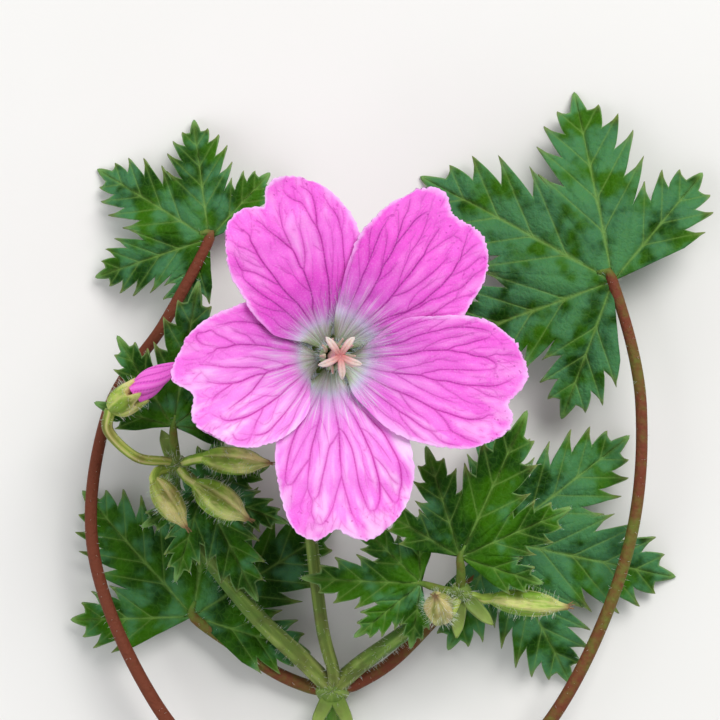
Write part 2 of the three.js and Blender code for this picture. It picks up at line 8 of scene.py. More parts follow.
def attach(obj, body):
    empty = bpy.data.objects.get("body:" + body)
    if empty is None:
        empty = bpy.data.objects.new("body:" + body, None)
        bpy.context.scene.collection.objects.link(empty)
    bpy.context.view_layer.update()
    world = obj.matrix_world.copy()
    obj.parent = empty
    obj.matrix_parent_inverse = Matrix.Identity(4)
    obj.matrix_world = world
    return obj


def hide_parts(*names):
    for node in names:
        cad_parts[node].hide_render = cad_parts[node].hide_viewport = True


# A cut flowering stem of hardy geranium, lying on a pale table under soft light, seen from straight above.
# Sizes are in millimetres and become metres (MM) when a mesh is made. +Y runs along the stem towards the
# flower, +Z is up. Places near the flower are measured from the point under its centre.

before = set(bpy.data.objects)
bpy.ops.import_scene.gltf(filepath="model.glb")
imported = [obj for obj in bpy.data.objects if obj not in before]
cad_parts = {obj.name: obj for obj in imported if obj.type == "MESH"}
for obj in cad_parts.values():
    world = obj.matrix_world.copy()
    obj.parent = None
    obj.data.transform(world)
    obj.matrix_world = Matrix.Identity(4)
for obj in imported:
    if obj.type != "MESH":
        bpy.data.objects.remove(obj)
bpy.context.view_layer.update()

MM = 0.001
FLOWER = np.array([0.0, 48.0, 19.0])  # the flower's receptacle
BELOW_FLOWER = FLOWER * [1, 1, 0]
FLOWER_LEAN = math.radians(8.5)  # towards +X

CLAW_RADIUS = 1.9  # where the petals' narrow claws start, from the flower's axis
CLAW_REACH = 0.7  # how far each claw goes on inwards, to the receptacle
CUP_RISE = 5.8  # how far a petal climbs from its claw to its tip
CUP_LENGTH = 5.0  # distance over which most of that climb is done
OVERLAP_LIFT = 0.42  # how far an edge is raised above, or tucked under, the petal beside it
PETAL_THICKNESS = 0.2
LEAF_THICKNESS = 0.3
SCALE_THICKNESS = 0.24  # sepals and stipules

# Petal outlines about the flower's centre, as [degrees, mm]. lift says whether the clockwise and the
# anticlockwise edge go over (1) or under (-1) the petal beside them. pale is how far the tissue is washed
# out near the centre and further out, partly the petal's own paler colour and partly painted light on the
# petals that face the lamps more, and lean how much more so for each mm towards the anticlockwise edge.
# dim is how much painted shade darkens it at the heart. early is how many mm its colours are
# moved inwards at the heart's rim and beyond it. cut turns its angles clear of the jump from half a turn
# to minus half a turn.
PETALS = {
    "petal_upper_left": dict(
        clockwise=[
            [97, 1.9], [88.5, 3.1], [80, 5.2], [74, 7.6], [73, 10.2], [77, 12.9], [82, 14.7], [87, 16.1],
            [91, 17.1], [95, 17.8],
        ],
        tip=[
            [95, 17.8], [99, 18.4], [103, 18.9], [107, 19], [111, 18.4], [114, 16.75], [117, 17.1],
            [121, 17.5], [125, 17.4], [129, 16.9], [132, 15.9],
        ],
        anticlockwise=[
            [145, 1.9], [151.5, 2.9], [157.5, 4.3], [160, 6.1], [156, 7.4], [152, 8.9], [147, 10.5],
            [141, 13.1], [136, 14.8], [132, 15.9],
        ],
        lift=(-1, 1), pale=(-0.5, 0.4), lean=-0.02, dim=0.03, early=(1.4, 2.4), cut=0, seed=11,
    ),
    "petal_upper_right": dict(
        clockwise=[
            [27, 1.9], [18.5, 3], [12.5, 4.7], [9, 7], [9, 9.6], [12, 12.2], [17, 14.3], [21, 15.5],
            [25, 17.2], [30, 18.6],
        ],
        tip=[
            [30, 18.6], [34, 19.4], [38, 19.85], [42, 19.8], [45.5, 19.4], [49.3, 19.15], [51.5, 19.6],
            [54.5, 20.4], [57.5, 20.35], [60, 20], [62.5, 19.3],
        ],
        anticlockwise=[
            [74, 1.9], [83.5, 3], [84.5, 4.6], [81.6, 6.6], [80.4, 8.8], [78.5, 10.9], [77, 12.6],
            [73, 14.6], [68.5, 16.8], [62.5, 19.3],
        ],
        lift=(-1, 1), pale=(0, 0.06), lean=-0.03, dim=0, early=(-0.2, 0.1), cut=0, seed=22,
    ),
    "petal_right": dict(
        clockwise=[
            [-46, 1.9], [-55, 3], [-60, 4.6], [-56, 6.6], [-54, 8.2], [-51, 10], [-46.5, 11.9],
            [-40, 14.5], [-34, 17], [-28, 18.7],
        ],
        tip=[
            [-28, 18.7], [-24.5, 19.5], [-21, 19.85], [-17.8, 19.6], [-15.2, 18.9], [-12.4, 19.35],
            [-9.5, 19.95], [-6.2, 20.35], [-3, 20.15], [0.5, 19.6], [4, 19.1],
        ],
        anticlockwise=[
            [1, 1.9], [12, 3], [21.5, 4.6], [27, 6.8], [26.5, 8.8], [22, 11], [18, 13.6], [13.5, 16.2],
            [9, 17.7], [4, 19.1],
        ],
        lift=(1, 1), pale=(0.1, 0.46), lean=-0.04, dim=0.08, early=(0.7, 0.6), cut=0.5, seed=33,
    ),
    "petal_lower": dict(
        clockwise=[
            [-118, 1.9], [-127, 3], [-133, 4.8], [-130, 7.2], [-124.5, 9.6], [-119, 11.8],
            [-114.5, 13.4], [-110, 15.1], [-106, 16.8], [-102.5, 18],
        ],
        tip=[
            [-102.5, 18], [-99.5, 18.6], [-96.5, 18.9], [-94, 18.85], [-91, 18.3], [-88.4, 17.75],
            [-85, 18.3], [-82, 18.95], [-79, 19.2], [-76, 19.1], [-73, 18.7],
        ],
        anticlockwise=[
            [-71, 1.9], [-61.5, 3], [-52.5, 4.9], [-45, 7.4], [-44, 10], [-48.5, 12.4], [-54, 14.5],
            [-60, 16.4], [-66.5, 17.8], [-73, 18.7],
        ],
        lift=(-1, -1), pale=(0.35, 1), lean=0.04, dim=0.15, early=(0.7, 0.1), cut=0, seed=44,
    ),
    "petal_left": dict(
        clockwise=[
            [169, 1.9], [159, 3], [149.5, 4.5], [143, 6.5], [143, 8.6], [148, 10.3], [154, 11.3],
            [160, 12.5], [166.5, 13.8], [173, 14.9],
        ],
        tip=[
            [173, 14.9], [177.5, 15.3], [182, 15.9], [186, 16.3], [189.5, 16.2], [194.6, 14.7],
            [198, 14.75], [202, 15.3], [206, 15.5], [210, 15.1], [214, 14.45],
        ],
        anticlockwise=[
            [216, 1.9], [226.5, 3], [239.5, 4.3], [248, 6], [245.5, 7.6], [241.5, 9.1], [236, 10.7],
            [228.5, 12.5], [221, 13.7], [214, 14.45],
        ],
        lift=(-1, 1), pale=(0.3, 1), lean=0.11, dim=0.4, early=(2.7, 0.7), cut=0, seed=55,
    ),
}

SEPAL_ANGLES = [88, 155, 230, 300, 14.5]
SEPAL = dict(length=8.6, width=3.0, awn=1.1, slope=14)
# Half-widths of a sepal, as [share of the length, share of the width].
SEPAL_SHAPE = [
    [0, 0.2], [0.16, 0.34], [0.4, 0.5], [0.62, 0.44], [0.82, 0.25], [0.9, 0.1], [0.94, 0.055], [1, 0.03],
]
STAMENS = dict(count=10, radius=1.1, foot=0.4, height=5.2, spread=0.8)
PISTIL = dict(height=6.5, reach=2.45, girth=0.33)
STIGMA_ANGLES = [127, 52, -20, -85, 202]

# Leaves are palmate, with evenly spaced lobes (degrees) whose lengths are shares of the middle one's reach.
# bloom is how much bluish painted sheen lies in patches on a blade, and red how reddish its stalk.
BROAD = dict(spacing=50, lengths=[0.66, 0.9, 1, 0.9, 0.66], teeth=4, width=0.48, sinus=0.36)
NARROW = dict(spacing=42, lengths=[0.55, 0.76, 1, 0.72, 0.56], teeth=3, width=0.4, sinus=0.26)
ROW_SLANT = math.radians(38)  # a side vein's lean from its midrib
TOOTH_CUT = 0.42  # share of a side vein's length that the notch beyond it takes away
TOOTH_PEAK = 0.62  # where a tooth's point falls in the stretch of midrib that it takes
LOBE_TAPER = 0.45  # how much narrower than a plain swelling a lobe has become at its tip
LOBE_TIP = 0.95  # how far a lobe runs on beyond its last notch, in teeth
LEAVES = {
    "leaf_upper_right": dict(
        base=[13.5, -21.1, 12.9], heading=65, reach=16.8, pitch=6, roll=4, droop=0.1, fold=0.34,
        shape=NARROW, stalk=[[13.6, -23.8, 11.4], [13.6, -22.5, 12.4]], girth=0.55, bloom=0.05, red=0.4,
    ),
    "leaf_upper_front": dict(
        base=[9.4, -24, 11.2], heading=178, reach=12.6, pitch=4, roll=-5, droop=0.12, fold=0.3,
        shape=NARROW, stalk=[[11.9, -24.8, 10.9], [10.7, -24.4, 11.2]], girth=0.5, bloom=0.3, red=0.1,
    ),
    "leaf_upper_left": dict(
        base=[-16.8, -7.4, 10.2], heading=80, reach=15.5, pitch=8, roll=0, droop=0.1, fold=0.32,
        shape=NARROW, stalk=[[-16.7, -9.5, 10.4], [-16.8, -8.5, 10.3]], girth=0.55, bloom=0.3, red=0.1,
    ),
    "leaf_lower_left": dict(
        base=[-13.8, -14.2, 9.6], heading=-64, reach=13.6, pitch=-7, roll=0, droop=0.1, fold=0.34,
        shape=NARROW, stalk=[[-14.65, -13.1, 10], [-14.3, -13.5, 9.8]], girth=0.5, bloom=0.35, red=0.1,
    ),
    "leaf_middle_right": dict(
        base=[17.6, -19.6, 4.8], heading=-13, reach=20, pitch=1, roll=2, droop=0.27, fold=0.26, shape=BROAD,
        stalk=[[2.7, -35.2, 2.6], [7, -32.4, 3], [13, -26, 3.8]], girth=0.75, bloom=0.75, red=0.6,
    ),
    "leaf_middle_left": dict(
        base=[-15, -28, 3.4], heading=82, reach=20, pitch=0, roll=0, droop=0.17, fold=0.24, shape=BROAD,
        stalk=[[-2.45, -35.7, 2.1], [-6, -34.2, 2.3], [-11, -31, 2.9]], girth=0.75, bloom=0.4, red=0.5,
    ),
    "leaf_far_right": dict(
        base=[30, 8, 6], heading=150, reach=23.5, pitch=0, roll=3, droop=0.27, fold=0.25, shape=BROAD,
        stalk=[[4.42, -57.55, 1.75], [13, -49.5, 3.5], [24, -38, 6.2], [31.5, -21, 6.8], [33, -5, 6.4]],
        girth=0.8, bloom=0.8, red=0.8,
    ),
    "leaf_far_left": dict(
        base=[-13.2, 12.6, 5], heading=148, reach=14.5, pitch=0, roll=0, droop=0.36, fold=0.25,
        shape=BROAD, girth=0.8, bloom=0.5, red=1.6,
        stalk=[
            [-0.48, -57.5, 1.75], [-8, -50, 3.5], [-19, -37, 6], [-25.5, -21, 6.6], [-24, -6, 6.2],
            [-18, 3.5, 5.6],
        ],
    ),
}

MAIN_STEM = [
    [5.2, -80, 1.25], [3.8, -68, 1.25], [2, -58, 1.3], [0.4, -52, 1.22], [0, -48, 1.22],
    [-0.2, -42, 1.25], [0, -36, 2.2],
]
BRANCHES = [
    [
        [0, -36, 2.2], [-2.6, -33.2, 4.2], [-8.5, -27.4, 5.8], [-14.6, -19.6, 6.6],
        [-16.9, -14.2, 8.3], [-16.5, -11.5, 10.6],
    ],
    [[0, -36, 2.2], [2.8, -33.2, 4.9], [8, -29.2, 8.4], [13.6, -25, 10.6]],
]
# Swollen joints: place, radius, and the headings and climb of the small scales (stipules) at each.
JOINTS = [
    dict(at=[2, -58, 1.3], radius=2.0, scales=[70, 118], climb=48),
    dict(at=[0, -36, 2.2], radius=1.9, scales=[-62, -118], climb=35),
    dict(at=[-16.5, -11.5, 10.6], radius=1.25, scales=[115, 235], climb=-35),
    dict(at=[13.6, -25, 10.6], radius=1.25, scales=[-45, -95], climb=5),
]
STIPULE = dict(length=3.6, width=1.5)
FLOWER_STALK = [[0.1, -33.7, 4.7], [-1.2, -28, 6.8], [-2.6, -14, 9.4], [-2, -4.6, 12.8], [-0.8, -1, 15.6]]

# Buds: the stalk's route, where the bud starts, its tip, its girth and how reddish it is.
BUDS = {
    "bud_left_upper": dict(
        stalk=[[-15.35, -11.15, 11.45], [-14.6, -10.9, 12.2]], foot=[-13.6, -10.7, 12.8],
        tip=[-6.4, -11.2, 14.8], girth=1.45, blush=0.12,
    ),
    "bud_left_middle": dict(
        stalk=[[-15.75, -12.3, 11.6], [-15.2, -12.9, 12.3]], foot=[-14.4, -13.4, 12.8],
        tip=[-8.7, -17.2, 13.3], girth=1.75, blush=0.1,
    ),
    "bud_left_lower": dict(
        stalk=[[-17.7, -12, 11.25], [-18.4, -12.2, 11.9]], foot=[-18.7, -12.9, 12.4],
        tip=[-15.3, -18.1, 12.6], girth=1.45, blush=0.45,
    ),
    "bud_right_outer": dict(
        stalk=[[15.85, -25.7, 10.2], [16.35, -25.7, 10.1]], foot=[16.8, -25.7, 10],
        tip=[25.2, -26.6, 10.4], girth=1.35, blush=0.05,
    ),
    "bud_right_inner": dict(
        stalk=[[12.6, -27, 11.8], [12, -27.6, 12.4]], foot=[11.6, -27.6, 13.2],
        tip=[10.8, -24.8, 20], girth=1.5, blush=0.55,
    ),
}
OPENING_BUD = dict(
    stalk=[[-17.65, -11.1, 11.5], [-20.6, -10.6, 13.3], [-23.4, -7.9, 14.3]],
    foot=[-23.2, -5.6, 14.8], tip=[-15.9, -0.7, 16.4], girth=1.6, petal_girth=1.35, calyx_share=0.46,
)
# Their outlines, as [share of the length, share of the girth].
BUD_SHAPE = [
    [0, 0.36], [0.08, 0.6], [0.22, 0.88], [0.4, 1], [0.58, 0.95], [0.74, 0.74], [0.88, 0.36], [1, 0.13],
]
OPEN_CALYX_SHAPE = [[0, 0.42], [0.2, 0.86], [0.5, 1], [1, 0.92]]
ROLLED_PETALS_SHAPE = [[0, 0.86], [0.3, 1], [0.6, 0.8], [0.85, 0.45], [1, 0.12]]
BUD_STALK = (0.5, 0.6)

# What the paints read from the points of the petals, the leaves, and the buds and stem.
PETAL_VALUES = ("vein", "halo", "out", "border", "angle", "pale", "dim")
LEAF_VALUES = ("rib", "edge", "tip", "stalk", "bloom")
SKIN_VALUES = ("along", "edge", "blush", "east", "north")


# ---------------------------------------------------------------- shapes


def unit(vectors):
    """The vectors, each made 1 long."""
    return vectors / np.linalg.norm(vectors, axis=-1, keepdims=True)


def smooth(x, start=0.0, end=1.0):
    """0 before start, 1 after end, and an even S between."""
    t = np.clip((x - start) / (end - start), 0, 1)
    return t * t * (3 - 2 * t)


def near(distance, width):
    """1 where the distance is 0, falling off as a bell of this width."""
    return np.exp(-((distance / width) ** 2))


def spline(knots, t):
    """The Catmull-Rom curve through the knots at t from 0 to 1, each stretch taking an equal share of t."""
    knots = np.asarray(knots, float)
    knots = np.vstack([2 * knots[0] - knots[1], knots, 2 * knots[-1] - knots[-2]])
    stretches = len(knots) - 3
    place = np.clip(t, 0, 1) * stretches
    i = np.minimum(place.astype(int), stretches - 1)
    f = (place - i)[..., None]
    a, b, c, d = (knots[i + k] for k in range(4))
    bend = 2 * a - 5 * b + 4 * c - d
    return b + 0.5 * f * ((c - a) + f * (bend + f * (3 * b - a - 3 * c + d)))


def even_path(knots, count):
    """Points spaced evenly along the spline through the knots."""
    dense = spline(knots, np.linspace(0, 1, 60 * len(knots)))
    reach = np.concatenate([[0], np.cumsum(np.linalg.norm(np.diff(dense, axis=0), axis=1))])
    wanted = np.linspace(0, reach[-1], count)
    return np.stack([np.interp(wanted, reach, dense[:, k]) for k in range(3)], -1)


def from_flower(points):
    """Places given from the point under the flower, in the shared frame."""
    return np.asarray(points, float) + BELOW_FLOWER


def from_joint(knots):
    """The route of a stalk, started inside the joint that it grows from."""
    first = np.array(knots[0], float)
    joint = min(JOINTS, key=lambda joint: np.linalg.norm(first - joint["at"]))
    inside = joint["at"] + 0.6 * joint["radius"] * unit(first - joint["at"])
    return from_flower(np.vstack([inside, knots]))


def shares(count):
    """Even shares from 0 to 1, one for each ring or row."""
    return np.linspace(0, 1, count)[:, None]


def between(pair, share):
    """The first of a pair of values at share 0, the second at share 1."""
    return pair[0] * (1 - share) + pair[1] * share


def level(knots, share):
    """A value read from [share, value] knots, along a smooth curve through them."""
    knots = np.asarray(knots, float)
    dense = spline(knots, np.linspace(0, 1, 40 * len(knots)))
    return np.interp(share, dense[:, 0], dense[:, 1])


def turning(axis, degrees):
    """The matrix that turns about X, Y or Z."""
    angle = math.radians(degrees)
    c, s = math.cos(angle), math.sin(angle)
    i, j = {"X": (1, 2), "Y": (2, 0), "Z": (0, 1)}[axis]
    matrix = np.eye(3)
    matrix[i, i] = matrix[j, j] = c
    matrix[j, i], matrix[i, j] = s, -s
    return matrix


def in_flower(points):
    """Points in the flower's own leaning frame, brought to their places."""
    return points @ turning("Y", math.degrees(FLOWER_LEAN)).T + FLOWER


def ripple(x, y, wavelength, seed):
    """Soft unevenness from about -1 to 1: eight plane waves of about this length, headed every way."""
    rng = np.random.default_rng(seed)
    total = 0
    for _ in range(8):
        heading, phase = rng.uniform(0, 2 * np.pi, 2)
        turns = 2 * np.pi / (wavelength * rng.uniform(0.7, 1.4))
        total = total + np.sin(turns * (x * np.cos(heading) + y * np.sin(heading)) + phase)
    return total / 4


def grid_faces(rows, columns, wrap=False):
    """Four-sided faces over a grid of points; wrap joins the last column to the first."""
    i = np.arange(rows - 1)[:, None]
    j = np.arange(columns if wrap else columns - 1)[None, :]
    a, b = i * columns + j, i * columns + (j + 1) % columns
    return np.stack([a, a + columns, b + columns, b], -1).reshape(-1, 4)


def split(quads):
    """Each four-sided face as two triangles."""
    return np.vstack([quads[:, [0, 1, 2]], quads[:, [0, 2, 3]]])


def ring_angles(sides):
    """The middles of a ring's even parts, counted from the underside."""
    return -np.pi / 2 + (np.arange(sides) + 0.5) * 2 * np.pi / sides


def tube(path, radius):
    """Rings round a path. Each ring is square to the path, and its upward direction is carried from ring to
    ring without twisting. radius holds the distance from the path at each ring and ring angle."""
    ahead = unit(np.gradient(path, axis=0))
    up = np.array([0.0, 1.0, 0.0] if abs(ahead[0, 2]) > 0.9 else [0.0, 0.0, 1.0])
    above = np.empty_like(ahead)
    for i, direction in enumerate(ahead):
        up = up - direction * (up @ direction)
        up /= np.linalg.norm(up)
        above[i] = up
    across = np.cross(ahead, above)
    angle = ring_angles(radius.shape[1])[None, :, None]
    around = across[:, None] * np.cos(angle) + above[:, None] * np.sin(angle)
    rings = path[:, None] + radius[..., None] * around
    rings[..., 2] = np.maximum(rings[..., 2], 0)
    return rings, around


def turned_normals(points, triangles):
    """The sheet's normal at each point: the mean of the normals of the triangles that meet there."""
    a, b, c = (points[triangles[:, k]] for k in range(3))
    faces = np.cross(b - a, c - a)
    normals = np.zeros_like(points)
    for k in range(3):
        np.add.at(normals, triangles[:, k], faces)
    return unit(normals + [0, 0, 1e-12])


def both_sides(points, triangles, thickness):
    """A sheet made thick: its points moved half the thickness along and against its normals, and walls along
    its free edges. A sheet near the table keeps a flat underside."""
    normals = turned_normals(points, triangles)
    lying = points[:, 2:] <= thickness * 0.55
    normals = np.where(lying, [0, 0, 1], normals)
    count = len(points)
    edges = np.vstack([triangles[:, [0, 1]], triangles[:, [1, 2]], triangles[:, [2, 0]]])
    key = np.sort(edges, 1) @ [count, 1]
    _, first, times = np.unique(key, return_index=True, return_counts=True)
    a, b = edges[first[times == 1]].T
    walls = np.stack([b, a, a + count, b + count], -1)
    step = normals * thickness / 2
    faces = [triangles, triangles[:, ::-1] + count, walls]
    return np.vstack([points + step, points - step]), faces


class Shell:
    """Gathers closed patches, with named values at their points, into the mesh of one piece."""

    def __init__(self, *names):
        self.names = names
        self.points, self.faces, self.values, self.size = [], [], [], 0

    def add(self, points, faces, **values):
        """One patch: its points, blocks of faces counted from its first point, and the points' values."""
        count = len(points)
        self.faces += [np.asarray(block) + self.size for block in faces]
        self.points.append(points)
        held = [np.broadcast_to(np.ravel(values.get(name, 0.0)), count) for name in self.names]
        self.values.append(np.array(held).reshape(len(self.names), count))
        self.size += count

    def add_tube(self, rings, **values):
        """Rings of points joined into a tube, with a pole point closing each end. A shell that names east and
        north is told where round the tube each point is."""
        rows, sides = rings.shape[:2]
        points = np.vstack([rings.reshape(-1, 3), rings[0].mean(0), rings[-1].mean(0)])
        around = np.arange(sides)
        after = (around + 1) % sides
        first = np.stack([np.full(sides, rows * sides), around, after], -1)
        last = np.stack([np.full(sides, rows * sides + 1), after, around], -1)
        last[:, 1:] += (rows - 1) * sides
        if "east" in self.names:
            values |= dict(east=np.cos(ring_angles(sides)), north=np.sin(ring_angles(sides)))
        held = {}
        for name, value in values.items():
            whole = np.broadcast_to(value, (rows, sides))
            held[name] = np.concatenate([whole.ravel(), [whole[0].mean(), whole[-1].mean()]])
        self.add(points, [grid_faces(rows, sides, wrap=True), first, last], **held)

    def add_sheet(self, points, triangles, thickness, **values):
        """A sheet made thick, with the same values on its two sides."""
        solid, faces = both_sides(points, triangles, thickness)
        held = {name: np.tile(np.broadcast_to(np.ravel(v), len(points)), 2) for name, v in values.items()}
        self.add(solid, faces, **held)

    def piece(self, name, material, slot, nodes=()):
        """The piece itself, riding on the plant and standing for the named CAD nodes."""
        mesh = bpy.data.meshes.new(name)
        points = np.vstack(self.points) * MM
        corners = np.concatenate([block.ravel() for block in self.faces])
        sizes = np.concatenate([np.full(len(block), block.shape[1]) for block in self.faces])
        mesh.vertices.add(len(points))
        mesh.vertices.foreach_set("co", points.ravel())
        mesh.loops.add(len(corners))
        mesh.loops.foreach_set("vertex_index", corners.astype(np.int32))
        mesh.polygons.add(len(sizes))
        mesh.polygons.foreach_set("loop_start", (np.cumsum(sizes) - sizes).astype(np.int32))
        mesh.update(calc_edges=True)
        mesh.validate()
        mesh.shade_smooth()
        values = np.hstack(self.values)
        for label, value in zip(self.names, values):
            mesh.attributes.new(label, "FLOAT", "POINT").data.foreach_set("value", value)
        mesh.materials.append(material)
        piece = bpy.data.objects.new(name, mesh)
        bpy.context.scene.collection.objects.link(piece)
        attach(piece, "root")
        if nodes:
            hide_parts(*nodes)


HAIR, PETAL_HAIR = 0.016, 0.021  # hairs' radius at the foot, in mm
HAIR_SAG = 0.12  # how far a hair's point hangs down, as a share of its length


def add_hairs(shell, roots, directions, length, girth):
    """Fine needles: a three-cornered foot, a three-cornered waist a little bent down, and a point."""
    count = len(roots)
    directions = unit(directions)
    side = unit(np.cross(directions, [0.31, 0.52, 0.79]))
    other = np.cross(directions, side)
    length = np.broadcast_to(length, count)[:, None]
    corners = [side * math.cos(a) + other * math.sin(a) for a in (0, 2 * math.pi / 3, 4 * math.pi / 3)]
    foot = np.stack([roots + girth * corner for corner in corners], 1)
    middle = roots + directions * length * 0.55
    waist = np.stack([middle + 0.7 * girth * corner for corner in corners], 1)
    tip = roots + directions * length - np.array([0, 0, 1]) * length * HAIR_SAG
    points = np.concatenate([foot, waist, tip[:, None]], 1)
    points[..., 2] = np.maximum(points[..., 2], 0.02)
    start = 7 * np.arange(count)[:, None]
    walls = np.vstack([start + np.array(q) for q in ([0, 1, 4, 3], [1, 2, 5, 4], [2, 0, 3, 5])])
    ends = np.vstack([start + np.array(q) for q in ([0, 2, 1], [3, 4, 6], [4, 5, 6], [5, 3, 6])])
    shell.add(points.reshape(-1, 3), [walls, ends])


# ---------------------------------------------------------------- petals


def polar(table):
    """[degrees, mm] rows as flat places."""
    degrees, out = np.array(table, float).T
    angle = np.radians(degrees)
    return np.stack([out * np.cos(angle), out * np.sin(angle)], -1)


def petal_place(petal, u, v):
    """A patch stretched between claw, side edges and tip: v times the tip, plus the two side edges weighted
    by 1 - u and u, less v times the straight line between the shoulders."""
    right, left = spline(polar(petal["clockwise"]), v), spline(polar(petal["anticlockwise"]), v)
    tip = spline(polar(petal["tip"]), u)
    shoulders = polar(petal["tip"])[[0, -1]]
    u, v = u[..., None], v[..., None]
    return v * tip + (1 - u) * right + u * left - v * ((1 - u) * shoulders[0] + u * shoulders[1])


def petal_height(petal, u, x, y):
    """The petals share a cup, whose rise levels off outwards and which leans with the flower. Towards its
    side edges each petal is lifted over its neighbour or tucked under it."""
    out = np.hypot(x, y)
    rise = CUP_RISE * (1 - np.exp(-(out - CLAW_RADIUS) / CUP_LENGTH))
    over = petal["lift"][0] * (1 - smooth(u, 0, 0.5)) + petal["lift"][1] * smooth(u, 0.5, 1)
    lifted = OVERLAP_LIFT * over * smooth(out, CLAW_RADIUS, 4)
    return FLOWER[2] + 0.5 + rise - math.tan(FLOWER_LEAN) * x + lifted


VEIN_HALO = 0.42  # mm over which the tissue sinks towards a vein
VEINLETS = 46  # faint veins near each petal's margin
BLOCK = 2000  # places whose distances to the veins are worked out at once

